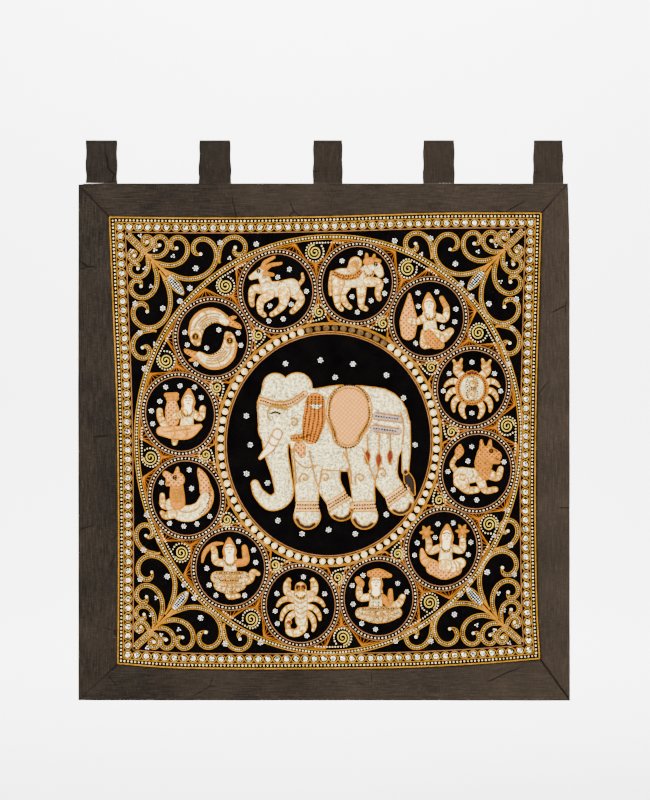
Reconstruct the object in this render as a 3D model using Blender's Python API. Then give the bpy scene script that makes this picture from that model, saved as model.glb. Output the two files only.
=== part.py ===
# Kalaga wall hanging: a black velvet panel with padded figures and couched cord work,
# in a mitred silk border that hangs from five cloth tabs.
# Metres, +Z up. The worked side faces -Y. The origin is on the line of the hanging pole.

import math
from collections import namedtuple

import bpy
import numpy as np
from mathutils import Vector
from mathutils.geometry import delaunay_2d_cdt

# Overall sizes
BODY_HEIGHT = 0.967
TAB_RISE = 0.081
POLE_DROP = 0.0085
TAB_TOP_Z = POLE_DROP
BODY_TOP_Z = TAB_TOP_Z - TAB_RISE
BODY_MID_Z = BODY_TOP_Z - BODY_HEIGHT / 2

# Cloth
PANEL_THICK = 0.0030
BORDER_THICK = 0.0024
TAB_THICK = 0.0020
SEAM_GAP = 0.0003
SEAT_GAP = 0.0004
PANEL_HALF_WIDTH = 0.391
PANEL_HALF_HEIGHT = 0.424
MERGE = 0.0001
MITRE_TRIM = 0.0003

# Slow waves of the hanging cloth: depth, length, phase
SWAY_ACROSS = (0.0014, 0.62, 0.8)
SWAY_DOWN = (0.0012, 0.74, 1.9)
SWAY_START = 0.25
BORDER_WAVE = (0.0007, 0.135)

# Raised work: heights and half widths
RING_BAND = (0.0036, 0.0018)
PEARL_BAND = (0.0072, 0.0036)
OUTER_BAND = (0.0042, 0.0017)
SCROLL_BAND = (0.0043, 0.0019)
SEQUIN_BAND = (0.0078, 0.0013)
BEAD_BAND = (0.0026, 0.0012)
EDGING_WIDTH = 0.0037
EDGING_THICK = 0.0022
EDGING_SHOULDER = 0.45
EDGING_INSET = 0.0003
SEQUIN_INSET = 0.0193
BEAD_INSET = 0.0066

# Round layout of the field, in shares of the panel's half width and half height
CENTRE = (0.010, -0.010)
OUTER_RADIUS = 0.917
PEARL_RADIUS = 0.515
DISC_RADIUS = 0.490
ROUNDEL_ORBIT = 0.720
ROUNDEL_RADIUS = 0.176
FIGURE_UNIT = 0.163
ROUNDEL_PHASE = 19.0
ROSETTE_PHASE = 4.0
STEP = 30.0

EdgePoint = namedtuple("EdgePoint", "along across")
Tab = namedtuple("Tab", "centre top_width foot_width")
Rosette = namedtuple("Rosette", "orbit radius height")
Scroll = namedtuple("Scroll", "root_a root_b centre_a centre_b ring turn")
Pad = namedtuple("Pad", "rim rise reach")
RingSteps = namedtuple("RingSteps", "roundel pearls outer")

# How many straight steps each curve takes
RING_STEPS = RingSteps(16, 36, 44)
SIDE_STEPS = 9
SCROLL_STEPS = 9
ROSETTE_STEPS = 8
EDGE_STEPS = 13
BORDER_STEPS = 17
BORDER_ROWS = 2
OUTLINE_STEPS = 14
LimbSteps = namedtuple("LimbSteps", "along cap")
FIGURE_STEPS = LimbSteps(2, 2)
ELEPHANT_STEPS = LimbSteps(2, 4)
OVERLAY_STEPS = LimbSteps(2, 3)
DEPTH_STEPS = 8
TAB_FOLD_STEPS = 5
BACK_GRID = 7

# The panel's four uneven edges, measured from the middle of the body
PANEL_LEFT = (
    EdgePoint(-0.4153, -0.3862),
    EdgePoint(-0.2956, -0.3852),
    EdgePoint(-0.1086, -0.3852),
    EdgePoint(0.0784, -0.3880),
    EdgePoint(0.2654, -0.3955),
    EdgePoint(0.4215, -0.4021),
)
PANEL_RIGHT = (
    EdgePoint(-0.4060, 0.4049),
    EdgePoint(-0.2956, 0.3992),
    EdgePoint(-0.1086, 0.3964),
    EdgePoint(0.0784, 0.3979),
    EdgePoint(0.2654, 0.4030),
    EdgePoint(0.4290, 0.4077),
)
PANEL_TOP = (
    EdgePoint(-0.4021, 0.4215),
    EdgePoint(-0.2030, 0.4196),
    EdgePoint(0.0030, 0.4224),
    EdgePoint(0.2085, 0.4284),
    EdgePoint(0.4077, 0.4290),
)
PANEL_BOTTOM = (
    EdgePoint(-0.3862, -0.4153),
    EdgePoint(-0.2680, -0.4234),
    EdgePoint(-0.0630, -0.4252),
    EdgePoint(0.1430, -0.4228),
    EdgePoint(0.2930, -0.4153),
    EdgePoint(0.4049, -0.4060),
)
BODY_LEFT = (EdgePoint(-0.4832, -0.4590), EdgePoint(0.0, -0.4596), EdgePoint(0.4815, -0.4590))
BODY_RIGHT = (
    EdgePoint(-0.4840, 0.4606),
    EdgePoint(0.1, 0.4600),
    EdgePoint(0.36, 0.4598),
    EdgePoint(0.4835, 0.4568),
)
BODY_TOP = (
    EdgePoint(-0.4590, 0.4815),
    EdgePoint(-0.39, 0.4835),
    EdgePoint(0.1, 0.4835),
    EdgePoint(0.4568, 0.4835),
)
BODY_BOTTOM = (EdgePoint(-0.4590, -0.4832), EdgePoint(0.0, -0.4836), EdgePoint(0.4606, -0.4840))

TABS = (
    Tab(-0.4155, 0.0570, 0.0590),
    Tab(-0.2035, 0.0570, 0.0620),
    Tab(0.0075, 0.0545, 0.0565),
    Tab(0.2150, 0.0580, 0.0595),
    Tab(0.4195, 0.0535, 0.0570),
)
TAB_GAP = 0.013
TAB_SEAM = 0.009
TAB_SPREAD = 0.020
TAB_CREASE = 0.0003
TAB_FLARE = (0.12, 0.35, 0.7, 1.0)

ROSETTES = (Rosette(0.853, 0.046, 0.0022), Rosette(0.588, 0.027, 0.0018))

# One corner's scrolls, as shares of the half width from the panel's corner: the other half mirrors them
SCROLLS = (
    Scroll(0.156, 0.148, 0.170, 0.108, 0.026, -1),
    Scroll(0.172, 0.166, 0.228, 0.117, 0.042, -1),
    Scroll(0.196, 0.190, 0.308, 0.126, 0.052, -1),
    Scroll(0.238, 0.226, 0.420, 0.146, 0.072, -1),
    Scroll(0.508, 0.203, 0.592, 0.141, 0.050, 1),
)
SCROLL_SWEEP = 430.0
SCROLL_DECAY = 70.0
SCROLL_FULL = 540.0
SCROLL_FLARE = 1.15
STEM = ((0.083, 0.080), (0.130, 0.128), (0.175, 0.172), (0.240, 0.234), (0.262, 0.258))
LEAF = ((0.262, 0.258), (0.292, 0.292), (0.318, 0.322), (0.336, 0.344))

# Padded figures, drawn from joints, headings and bone lengths, in shares of the roundel's or disc's radius
Patch = namedtuple("Patch", "cloth strokes")


def patch(cloth, *strokes):
    """One piece of cloth of a figure, cut as the union of its strokes."""
    return Patch(cloth, strokes)


def limb(joint, *bones):
    """Rows across, up and half width: a joint, then bones of heading, length and end half width."""
    rows = [joint]
    for heading, length, half_width in bones:
        turn = math.radians(heading)
        x, z, _ = rows[-1]
        rows.append((x + length * math.cos(turn), z + length * math.sin(turn), half_width))
    return rows


def leg(joint, *headings):
    """Thigh, shank and foot."""
    return limb(joint, *zip(headings, (0.32, 0.27, 0.16), (0.11, 0.075, 0.06)))


def arm(joint, *headings):
    """Upper arm, forearm and hand."""
    return limb(joint, *zip(headings, (0.27, 0.25, 0.12), (0.095, 0.08, 0.07)))


def arc(middle, radius, start, sweep, half_widths):
    """Rows along part of a circle, the half widths spread evenly over it."""
    turns = np.radians(np.linspace(start, start + sweep, len(half_widths)))
    return [(middle[0] + radius * math.cos(turn), middle[1] + radius * math.sin(turn), half_width)
            for turn, half_width in zip(turns, half_widths)]


def mirrored(rows):
    return [(-x, z, half_width) for x, z, half_width in rows]


def disc(x, z, radius):
    return [(x - 0.01, z, radius), (x + 0.01, z, radius)]


def blossom(x, z):
    """Six pointed petals round a middle."""
    petals = [limb((x, z, 0.04), (60 * k, 0.09, 0.05), (60 * k, 0.10, 0.012)) for k in range(6)]
    return patch("orange", *petals)


def person(waist, lean):
    """Torso, hair and face in plain proportions: the head is 0.3 high and the trunk 0.4."""
    up = 90 + lean
    torso = limb((*waist, 0.19), (up, 0.20, 0.17), (up, 0.18, 0.19))
    neck = torso[-1][:2]
    hair = limb((*neck, 0.12), (up, 0.22, 0.19), (up, 0.20, 0.12), (up, 0.12, 0.05))
    chin = limb((*neck, 0.07), (up, 0.12, 0.11))[-1]
    face = limb(chin, (up, 0.10, 0.14), (up, 0.08, 0.14))
    return patch("white", torso), patch("orange", hair), patch("face", face)


def goat():
    return [
        patch("cream", leg((0.46, 0.02, 0.18), -48, -120, -140)),
        patch("cream", leg((-0.38, 0.04, 0.13), 178, -105, -80)),
        patch("cream", limb((0.62, 0.18, 0.05), (50, 0.18, 0.045), (95, 0.16, 0.03))),
        patch("white", limb((-0.28, 0.06, 0.20), (0, 0.34, 0.22), (8, 0.34, 0.24)),
              limb((-0.30, 0.12, 0.17), (112, 0.42, 0.14)), limb((-0.46, 0.52, 0.15), (205, 0.34, 0.07))),
        patch("cream", leg((0.20, -0.04, 0.17), -98, -135, -150)),
        patch("cream", leg((-0.22, -0.08, 0.13), 215, -95, -45)),
        patch("orange", limb((-0.38, 0.48, 0.06), (-8, 0.24, 0.04))),
        patch("orange", limb((-0.44, 0.64, 0.06), (62, 0.16, 0.05), (28, 0.30, 0.03))),
        patch("orange", limb((-0.36, 0.60, 0.06), (34, 0.18, 0.05), (10, 0.32, 0.03))),
    ]


def bull():
    return [
        patch("cream", limb((-0.74, 0.30, 0.05), (-100, 0.32, 0.045), (-88, 0.28, 0.035))),
        patch("cream", leg((-0.30, 0.00, 0.15), -118, -66, -40)),
        patch("cream", leg((0.12, 0.00, 0.15), -90, -90, -35)),
        patch("white", limb((-0.50, 0.16, 0.26), (0, 0.36, 0.27), (0, 0.34, 0.25)),
              limb((0.20, 0.24, 0.21), (42, 0.30, 0.17))),
        patch("cream", limb((-0.14, 0.42, 0.14), (58, 0.16, 0.18))),
        patch("cream", leg((-0.56, 0.02, 0.18), -98, -82, -50)),
        patch("cream", leg((0.32, 0.06, 0.14), -8, -98, -75)),
        patch("orange", limb((0.28, 0.62, 0.06), (92, 0.18, 0.03))),
        patch("orange", limb((0.46, 0.62, 0.06), (76, 0.16, 0.03))),
        patch("white", limb((0.46, 0.52, 0.17), (-42, 0.18, 0.14), (-60, 0.15, 0.10))),
        patch("orange", limb((0.28, 0.60, 0.10), (8, 0.20, 0.08), (-4, 0.18, 0.04))),
    ]


def lion():
    return [
        patch("cream", limb((-0.56, -0.02, 0.07), (128, 0.26, 0.06), (62, 0.24, 0.055))),
        patch("dotted_orange", limb((-0.56, 0.40, 0.06), (70, 0.16, 0.12), (84, 0.16, 0.03))),
        patch("white", limb((-0.42, -0.12, 0.25), (4, 0.36, 0.19), (18, 0.30, 0.18))),
        patch("cream", limb((-0.46, -0.26, 0.21), (-50, 0.30, 0.11), (0, 0.28, 0.08))),
        patch("cream", limb((0.10, -0.22, 0.13), (-62, 0.32, 0.09), (4, 0.30, 0.07))),
        patch("cream", limb((0.34, -0.06, 0.14), (-18, 0.28, 0.10), (66, 0.24, 0.075))),
        patch("dotted_orange", limb((0.24, 0.46, 0.22), (-98, 0.28, 0.24), (-82, 0.28, 0.14))),
        patch("dotted_orange", limb((0.16, 0.60, 0.08), (96, 0.24, 0.03))),
        patch("dotted_orange", limb((0.36, 0.62, 0.08), (80, 0.22, 0.03))),
        patch("dotted_orange", limb((0.34, 0.50, 0.20), (-20, 0.24, 0.15))),
        patch("orange", limb((0.44, 0.30, 0.09), (-12, 0.20, 0.05))),
    ]


def crab():
    patches = []
    for k in range(4):
        out = 22 - 27 * k
        root = (0.36 * math.cos(math.radians(out)), 0.36 * math.sin(math.radians(out)) - 0.04, 0.085)
        rows = limb(root, (out, 0.22, 0.08), (out - 40, 0.17, 0.06), (out - 66, 0.13, 0.03))
        patches += [patch("cream", rows), patch("cream", mirrored(rows))]
    claw = limb((0.24, 0.28, 0.10), (42, 0.24, 0.11), (96, 0.14, 0.12))
    nippers = [limb((0.38, 0.58, 0.07), (112, 0.20, 0.03)), limb((0.44, 0.58, 0.06), (58, 0.18, 0.03))]
    for side in (claw, mirrored(claw)):
        patches.append(patch("cream", side))
    for side in (nippers, [mirrored(rows) for rows in nippers]):
        patches.append(patch("cream", *side))
    return [*patches, patch("orange", disc(0, -0.02, 0.46)), patch("white", disc(0, -0.02, 0.36))]


def scorpion():
    patches = []
    for k in range(3):
        out = 14 - 26 * k
        bones = ((out, 0.26, 0.075), (out - 34, 0.22, 0.06), (out - 64, 0.16, 0.035))
        rows = limb((0.12, 0.12 - 0.14 * k, 0.075), *bones)
        patches += [patch("cream", rows), patch("cream", mirrored(rows))]
    claw = limb((0.14, 0.30, 0.08), (10, 0.24, 0.09), (84, 0.20, 0.10), (106, 0.16, 0.05))
    nipper = limb((0.42, 0.56, 0.06), (136, 0.16, 0.03))
    for flip in (list, mirrored):
        patches.append(patch("cream", flip(claw), flip(nipper)))
    bones = ((-84, 0.26, 0.13), (-140, 0.22, 0.11), (170, 0.22, 0.09), (100, 0.20, 0.04))
    return [
        *patches,
        patch("cream", limb((0.02, -0.34, 0.16), *bones)),
        patch("white", limb((0, 0.26, 0.19), (-90, 0.36, 0.18), (-88, 0.32, 0.15))),
        patch("cream", limb((0, 0.32, 0.17), (90, 0.16, 0.15))),
    ]


def fish():
    """The upper fish of the pair. The lower one is the same fish half a turn round."""
    middle = (0.02, 0.08)
    return [
        patch("orange", arc(middle, 0.62, 172, -118, (0.12, 0.16, 0.16, 0.12, 0.06))),
        patch("dotted_orange", limb((0.46, 0.46, 0.09), (-22, 0.30, 0.06), (-34, 0.10, 0.02)),
              limb((0.42, 0.48, 0.07), (26, 0.20, 0.045), (10, 0.08, 0.02))),
        patch("white", arc(middle, 0.52, 178, -134, (0.17, 0.20, 0.20, 0.16, 0.09))),
        patch("cream", limb((-0.50, 0.10, 0.17), (-82, 0.14, 0.14), (-60, 0.10, 0.07))),
    ]


def sea_beast():
    middle = (0.02, 0.12)
    return [
        patch("dotted_peach", arc(middle, 0.64, -60, 80, (0.10, 0.13, 0.14, 0.13, 0.09))),
        patch("dotted_peach",
              limb((0.56, 0.18, 0.15), (98, 0.26, 0.14), (114, 0.26, 0.09), (118, 0.14, 0.02))),
        patch("cream", limb((-0.46, -0.22, 0.11), (168, 0.22, 0.09), (98, 0.26, 0.06))),
        patch("white", arc(middle, 0.54, 214, 138, (0.19, 0.22, 0.22, 0.18, 0.13))),
        patch("cream", limb((-0.40, -0.42, 0.13), (196, 0.22, 0.09), (140, 0.14, 0.05))),
        patch("orange", limb((-0.28, 0.34, 0.17), (-88, 0.26, 0.20), (-84, 0.20, 0.20))),
        patch("dotted_peach", limb((-0.28, 0.60, 0.10), (84, 0.22, 0.03))),
        patch("dotted_peach", limb((-0.26, 0.50, 0.20), (182, 0.20, 0.13)),
              limb((-0.44, 0.54, 0.10), (146, 0.20, 0.08)), limb((-0.40, 0.40, 0.09), (188, 0.16, 0.05))),
    ]


def maiden_with_sheaf():
    torso, hair, face = person((0.04, -0.26), 3)
    return [
        patch("dotted_peach",
              limb((-0.60, -0.38, 0.20), (88, 0.32, 0.24), (88, 0.34, 0.15), (88, 0.38, 0.03))),
        patch("cream", arm((0.20, 0.06, 0.10), -12, 76, 104)),
        patch("orange", limb((0.48, 0.38, 0.07), (120, 0.20, 0.06))),
        patch("cream", limb((-0.06, -0.40, 0.16), (-106, 0.32, 0.09), (-8, 0.18, 0.06))),
        torso,
        patch("cream", limb((0.10, -0.42, 0.18), (-16, 0.30, 0.15), (34, 0.30, 0.09))),
        patch("dotted_orange", limb((0.00, -0.44, 0.15), (-52, 0.26, 0.16), (-20, 0.20, 0.10))),
        hair,
        face,
        patch("cream", arm((-0.08, 0.04, 0.11), 204, 176)),
    ]


def maiden_with_flowers():
    torso, hair, face = person((0.08, -0.30), -3)
    return [
        patch("peach", limb((-0.24, -0.46, 0.14), (152, 0.32, 0.12), (108, 0.30, 0.04))),
        patch("cream", arm((-0.12, 0.02, 0.10), 196, 96, 110)),
        patch("cream", arm((0.28, 0.02, 0.10), -10, 82, 92)),
        patch("dotted_peach", limb((-0.30, -0.52, 0.18), (-12, 0.34, 0.24), (10, 0.32, 0.20))),
        torso,
        patch("cream", limb((0.02, -0.44, 0.16), (-6, 0.30, 0.17), (24, 0.22, 0.14))),
        hair,
        face,
        blossom(-0.48, 0.44),
        blossom(0.57, 0.48),
    ]


def seated():
    torso, hair, face = person((-0.08, -0.22), 0)
    return [
        patch("cream", arm((-0.26, 0.04, 0.10), 184, 98, 60)),
        patch("cream", limb((0.30, -0.26, 0.12), (22, 0.30, 0.10), (56, 0.22, 0.08))),
        patch("orange", limb((0.10, 0.02, 0.10), (-34, 0.26, 0.09), (84, 0.34, 0.05))),
        torso,
        patch("patterned", limb((-0.52, -0.40, 0.15), (-6, 0.40, 0.23), (2, 0.36, 0.22), (8, 0.30, 0.14))),
        patch("orange", limb((-0.52, 0.40, 0.09), (128, 0.14, 0.08))),
        hair,
        face,
        patch("dotted_orange", limb((-0.24, 0.66, 0.09), (4, 0.26, 0.12), (-12, 0.32, 0.05))),
    ]


def archer():
    torso, hair, face = person((0.00, -0.14), 2)
    return [
        patch("orange", arc((-0.30, 0.16), 0.52, 82, 96, (0.025, 0.05, 0.055, 0.05, 0.025))),
        patch("cream", arm((-0.16, 0.14, 0.10), 168, 98, 112)),
        patch("orange", arm((0.18, 0.14, 0.10), 12, 92, 100)),
        patch("cream", limb((0.00, -0.50, 0.14), (-94, 0.24, 0.09), (0, 0.26, 0.055))),
        patch("cream", limb((0.30, -0.32, 0.15), (6, 0.26, 0.11), (60, 0.22, 0.08), (-16, 0.16, 0.05))),
        patch("patterned", limb((-0.30, -0.44, 0.17), (-8, 0.30, 0.22), (10, 0.30, 0.16))),
        torso,
        patch("patterned", limb((-0.40, -0.24, 0.16), (0, 0.40, 0.17), (0, 0.40, 0.15))),
        hair,
        face,
    ]


def water_bearer():
    torso, hair, face = person((0.20, -0.28), -4)
    return [
        patch("cream", limb((-0.40, -0.36, 0.11), (124, 0.30, 0.09), (98, 0.20, 0.08))),
        patch("cream", limb((-0.14, -0.60, 0.11), (-96, 0.18, 0.07))),
        patch("cream", arm((0.36, 0.04, 0.10), -28, 74)),
        torso,
        patch("peach", limb((-0.56, -0.46, 0.12), (-6, 0.42, 0.18), (4, 0.40, 0.18), (24, 0.36, 0.06))),
        patch("dotted_peach", limb((-0.22, -0.16, 0.18), (92, 0.26, 0.19), (92, 0.22, 0.13))),
        patch("orange", limb((-0.34, 0.42, 0.06), (2, 0.24, 0.06))),
        patch("orange", limb((-0.40, 0.51, 0.06), (2, 0.30, 0.06))),
        hair,
        face,
        patch("cream", arm((0.12, 0.02, 0.11), 196)),
    ]


def ankle(*bones):
    """A pillar of a leg: the foot is wider than the shank."""
    half_widths = (0.12, 0.105, 0.125)
    return [(heading, length, half) for (heading, length), half in zip(bones, half_widths)]


ELEPHANT_LEGS = {
    "far_hind": limb((0.50, 0.00, 0.19), *ankle((-80, 0.28), (-58, 0.18), (-56, 0.10))),
    "far_fore": limb((-0.04, -0.04, 0.17), *ankle((-84, 0.28), (-62, 0.18), (-60, 0.10))),
    "near_hind": limb((0.34, -0.04, 0.19), *ankle((-92, 0.28), (-86, 0.20), (-88, 0.12))),
    "near_fore": limb((-0.20, -0.04, 0.16), *ankle((-92, 0.28), (-90, 0.20), (-90, 0.12))),
}
ELEPHANT_BODY = (
    patch("silver", limb((0.74, 0.20, 0.05), (-86, 0.22, 0.04), (-92, 0.22, 0.03))),
    patch("dark", limb((0.75, -0.24, 0.02), (-68, 0.10, 0.045), (-68, 0.12, 0.012))),
    patch("silver", ELEPHANT_LEGS["far_hind"]),
    patch("silver", ELEPHANT_LEGS["far_fore"]),
    patch("silver", limb((-0.14, 0.20, 0.31), (2, 0.28, 0.34), (-2, 0.30, 0.33)),
          limb((-0.10, 0.04, 0.27), (0, 0.30, 0.29), (2, 0.24, 0.28))),
    patch("silver", ELEPHANT_LEGS["near_hind"]),
    patch("silver", ELEPHANT_LEGS["near_fore"]),
    patch("silver", limb((-0.20, 0.28, 0.24), (166, 0.22, 0.22)), limb((-0.34, 0.42, 0.18), (70, 0.10, 0.14)),
          limb((-0.50, 0.42, 0.16), (100, 0.11, 0.12)), limb((-0.46, 0.34, 0.23), (-104, 0.20, 0.17)),
          limb((-0.52, 0.16, 0.14), (-88, 0.22, 0.11), (-76, 0.22, 0.09), (-84, 0.18, 0.085),
               (-150, 0.14, 0.07), (145, 0.14, 0.05), (115, 0.10, 0.035))),
    patch("ivory", limb((-0.50, 0.10, 0.045), (-120, 0.14, 0.04), (-135, 0.14, 0.012))),
)
SADDLE = limb((0.20, 0.34, 0.18), (-92, 0.10, 0.18), (-96, 0.14, 0.11))
NECK_CLOTH = limb((-0.13, 0.38, 0.09), (-95, 0.16, 0.105), (-102, 0.14, 0.08))
STRAPS = [limb((0.46 - 0.02 * k, 0.26 - 0.11 * k, 0.034), (-7, 0.24, 0.030)) for k in range(2)]
TASSELS = [limb((0.38 + 0.11 * k, -0.05 - 0.03 * (k % 2), 0.010), (-92, 0.05, 0.028), (-92, 0.07, 0.008))
           for k in range(3)]

FIGURES = {
    "crab": crab(), "maiden_with_sheaf": maiden_with_sheaf(), "bull": bull(), "goat": goat(),
    "fish": fish(), "water_bearer": water_bearer(), "sea_beast": sea_beast(), "archer": archer(),
    "scorpion": scorpion(), "seated": seated(), "maiden_with_flowers": maiden_with_flowers(), "lion": lion(),
}
FIGURE_PAD = Pad(0.0012, 0.0048, 0.012)
ELEPHANT_PAD = Pad(0.0014, 0.0085, 0.026)
OVERLAY_THICK = 0.0014

Finish = namedtuple("Finish", "colour roughness metallic")
FINISHES = {
    "velvet": Finish((0.012, 0.010, 0.012), 0.95, 0.0),
    "border_silk": Finish((0.060, 0.047, 0.038), 0.60, 0.0),
    "gold_braid": Finish((0.62, 0.37, 0.12), 0.45, 0.4),
    "silver_cloth": Finish((0.78, 0.72, 0.60), 0.40, 0.3),
    "orange_cloth": Finish((0.80, 0.38, 0.14), 0.60, 0.0),
    "peach_cloth": Finish((0.80, 0.58, 0.40), 0.60, 0.0),
    "lilac_cloth": Finish((0.60, 0.52, 0.60), 0.55, 0.0),
    "red_thread": Finish((0.42, 0.06, 0.03), 0.55, 0.0),
}


def clear_scene():
    for obj in list(bpy.data.objects):
        bpy.data.objects.remove(obj, do_unlink=True)


def material(name):
    """The named finish as a Principled material, made once."""
    found = bpy.data.materials.get(name)
    if found:
        return found
    finish = FINISHES[name]
    made = bpy.data.materials.new(name)
    made.use_nodes = True
    shader = made.node_tree.nodes["Principled BSDF"]
    shader.inputs["Base Color"].default_value = (*finish.colour, 1.0)
    shader.inputs["Roughness"].default_value = finish.roughness
    shader.inputs["Metallic"].default_value = finish.metallic
    return made


def add_object(name, points, faces, finish):
    mesh = bpy.data.meshes.new(name)
    mesh.from_pydata([tuple(map(float, p)) for p in points], [], [tuple(map(int, f)) for f in faces])
    mesh.materials.append(material(finish))
    obj = bpy.data.objects.new(name, mesh)
    bpy.context.scene.collection.objects.link(obj)
    return obj


def smooth(points, steps):
    """A Catmull-Rom curve through the rows, with the given steps between each two."""
    rows = np.array(points, float)
    ends = np.vstack([2 * rows[0] - rows[1], rows, 2 * rows[-1] - rows[-2]])
    curve = []
    for i in range(1, len(ends) - 2):
        before, here, there, after = ends[i - 1:i + 3]
        for t in np.arange(steps) / steps:
            curve.append(0.5 * (
                2 * here + (there - before) * t
                + (2 * before - 5 * here + 4 * there - after) * t ** 2
                + (3 * here - before - 3 * there + after) * t ** 3
            ))
    curve.append(rows[-1])
    return np.array(curve)


def on_edge(edge, along):
    """How far out the edge is at these places along it."""
    rows = smooth(edge, 8)
    return np.interp(along, rows[:, 0], rows[:, 1])


def side_point(left, right, bottom, top, side, share):
    """A point on one side of a four-sided outline; share runs left to right or bottom to top."""
    if side in ("bottom", "top"):
        edge = bottom if side == "bottom" else top
        x = edge[0].along + (edge[-1].along - edge[0].along) * share
        return np.array([x, on_edge(edge, x)])
    edge = left if side == "left" else right
    z = edge[0].along + (edge[-1].along - edge[0].along) * share
    return np.array([on_edge(edge, z), z])


def panel_side(side, share):
    return side_point(PANEL_LEFT, PANEL_RIGHT, PANEL_BOTTOM, PANEL_TOP, side, share)


def body_side(side, share):
    return side_point(BODY_LEFT, BODY_RIGHT, BODY_BOTTOM, BODY_TOP, side, share)


def panel_point(u, v):
    """Places a point of the square design, -1 to 1 each way, on the uneven panel."""
    a, b = (u + 1) / 2, (v + 1) / 2
    low, high = panel_side("bottom", a), panel_side("top", a)
    left, right = panel_side("left", b), panel_side("right", b)
    corners = (
        (1 - a) * (1 - b) * panel_side("bottom", 0.0)
        + a * (1 - b) * panel_side("bottom", 1.0)
        + (1 - a) * b * panel_side("top", 0.0)
        + a * b * panel_side("top", 1.0)
    )
    x, z = (1 - b) * low + b * high + (1 - a) * left + a * right - corners
    return np.array([x, z + BODY_MID_Z])


def sway(x, z):
    """How far the hanging cloth stands back or forward at a place."""
    depth = np.clip((BODY_TOP_Z - z) / SWAY_START, 0, 1)
    across = SWAY_ACROSS[0] * np.sin(2 * math.pi * x / SWAY_ACROSS[1] + SWAY_ACROSS[2])
    down = SWAY_DOWN[0] * np.sin(2 * math.pi * z / SWAY_DOWN[1] + SWAY_DOWN[2] + 1.5 * x)
    return depth * (across + down)


def triangulate(points, edges, polygons):
    """Triangles inside the polygons, whose outlines may cross, and the polygons that cover each."""
    found = delaunay_2d_cdt([Vector(p) for p in points], edges, polygons, 1, MERGE)
    return np.array([tuple(v) for v in found[0]]), found[2], found[5]


def loose_edges(faces):
    """The directed edges that only one face uses: the rim of the sheet."""
    used = {(f[i], f[(i + 1) % len(f)]) for f in faces for i in range(len(f))}
    return [(a, b) for a, b in used if (b, a) not in used]


def sheet_solid(name, flat, faces, front, back, finish):
    """Closes a flat triangulation into a solid whose two sides lie at these depths."""
    used = sorted({i for f in faces for i in f})
    number = {old: new for new, old in enumerate(used)}
    count = len(used)
    points = [(flat[i][0], front[i], flat[i][1]) for i in used]
    points += [(flat[i][0], back[i], flat[i][1]) for i in used]
    near = [tuple(number[i] for i in f) for f in faces]
    solid = list(near)
    solid += [tuple(i + count for i in reversed(f)) for f in near]
    solid += [(b, a, a + count, b + count) for a, b in loose_edges(near)]
    return add_object(name, points, solid, finish)


def limb_outline(stroke, steps):
    """A stroke's outline, anticlockwise: both sides of its smoothed rows and a round cap at each end."""
    rows = smooth(stroke, steps.along)
    along = np.gradient(rows[:, :2], axis=0)
    along /= np.linalg.norm(along, axis=1)[:, None]
    normal = np.stack([-along[:, 1], along[:, 0]], axis=1)
    width = rows[:, 2:3]
    left, right = rows[:, :2] + normal * width, rows[:, :2] - normal * width
    turns = np.linspace(0, math.pi, steps.cap + 1)[1:-1]
    far = [rows[-1, :2] + rows[-1, 2] * (normal[-1] * math.cos(t) + along[-1] * math.sin(t)) for t in turns]
    near = [rows[0, :2] - rows[0, 2] * (normal[0] * math.cos(t) + along[0] * math.sin(t)) for t in turns]
    return np.vstack([left, far, right[::-1], near])[::-1]


def depth_inside(points, strokes):
    """How deep each point lies inside the union of the strokes."""
    discs = np.vstack([smooth(stroke, DEPTH_STEPS) for stroke in strokes])
    apart = np.linalg.norm(points[:, None, :] - discs[None, :, :2], axis=2)
    return (discs[None, :, 2] - apart).max(axis=1)


def padded_height(depth, pad):
    """Rises from the rim in a quarter round to the full height of the padding."""
    share = np.clip(depth / pad.reach, 0, 1)
    return pad.rim + pad.rise * np.sqrt(1 - (1 - share) ** 2)


def placed(strokes, place, unit_x, unit_z, turn=1.0):
    """The strokes in metres around a place of the panel. A turn of -1 puts the figure upside down."""
    mean = math.sqrt(unit_x * unit_z)
    return [[(place[0] + turn * x * unit_x, place[1] + turn * z * unit_z, r * mean) for x, z, r in stroke]
            for stroke in strokes]


def all_strokes(patches):
    """Every stroke but the faces, which lie within the hair and add nothing to the outline."""
    return [stroke for one in patches if one.cloth != "face" for stroke in one.strokes]


def padded_figure(name, strokes):
    """One padded appliqué: a rounded cushion over the union of its strokes, lying on the panel."""
    flat, faces, _ = cover([limb_outline(stroke, FIGURE_STEPS) for stroke in strokes])
    height = padded_height(depth_inside(flat, strokes), FIGURE_PAD)
    seat = panel_front(flat[:, 0], flat[:, 1]) - SEAT_GAP
    return sheet_solid(name, flat, faces, seat - height, seat, "silver_cloth")


def cover(outlines):
    """Triangulates the union of closed outlines and says which of them cover each triangle."""
    points, polygons = [], []
    for outline in outlines:
        polygons.append(list(range(len(points), len(points) + len(outline))))
        points += [tuple(p) for p in outline]
    return triangulate(points, [], polygons)


def panel_front(x, z):
    """The depth of the plain velvet face."""
    return sway(x, z) - PANEL_THICK / 2


def orbit_point(orbit, degrees):
    angle = math.radians(degrees)
    return CENTRE[0] + orbit * math.cos(angle), CENTRE[1] + orbit * math.sin(angle)


def circle_path(centre, radius, count):
    turns = np.arange(count) * 2 * math.pi / count
    return np.array([
        panel_point(centre[0] + radius * math.cos(t), centre[1] + radius * math.sin(t)) for t in turns
    ])


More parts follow.
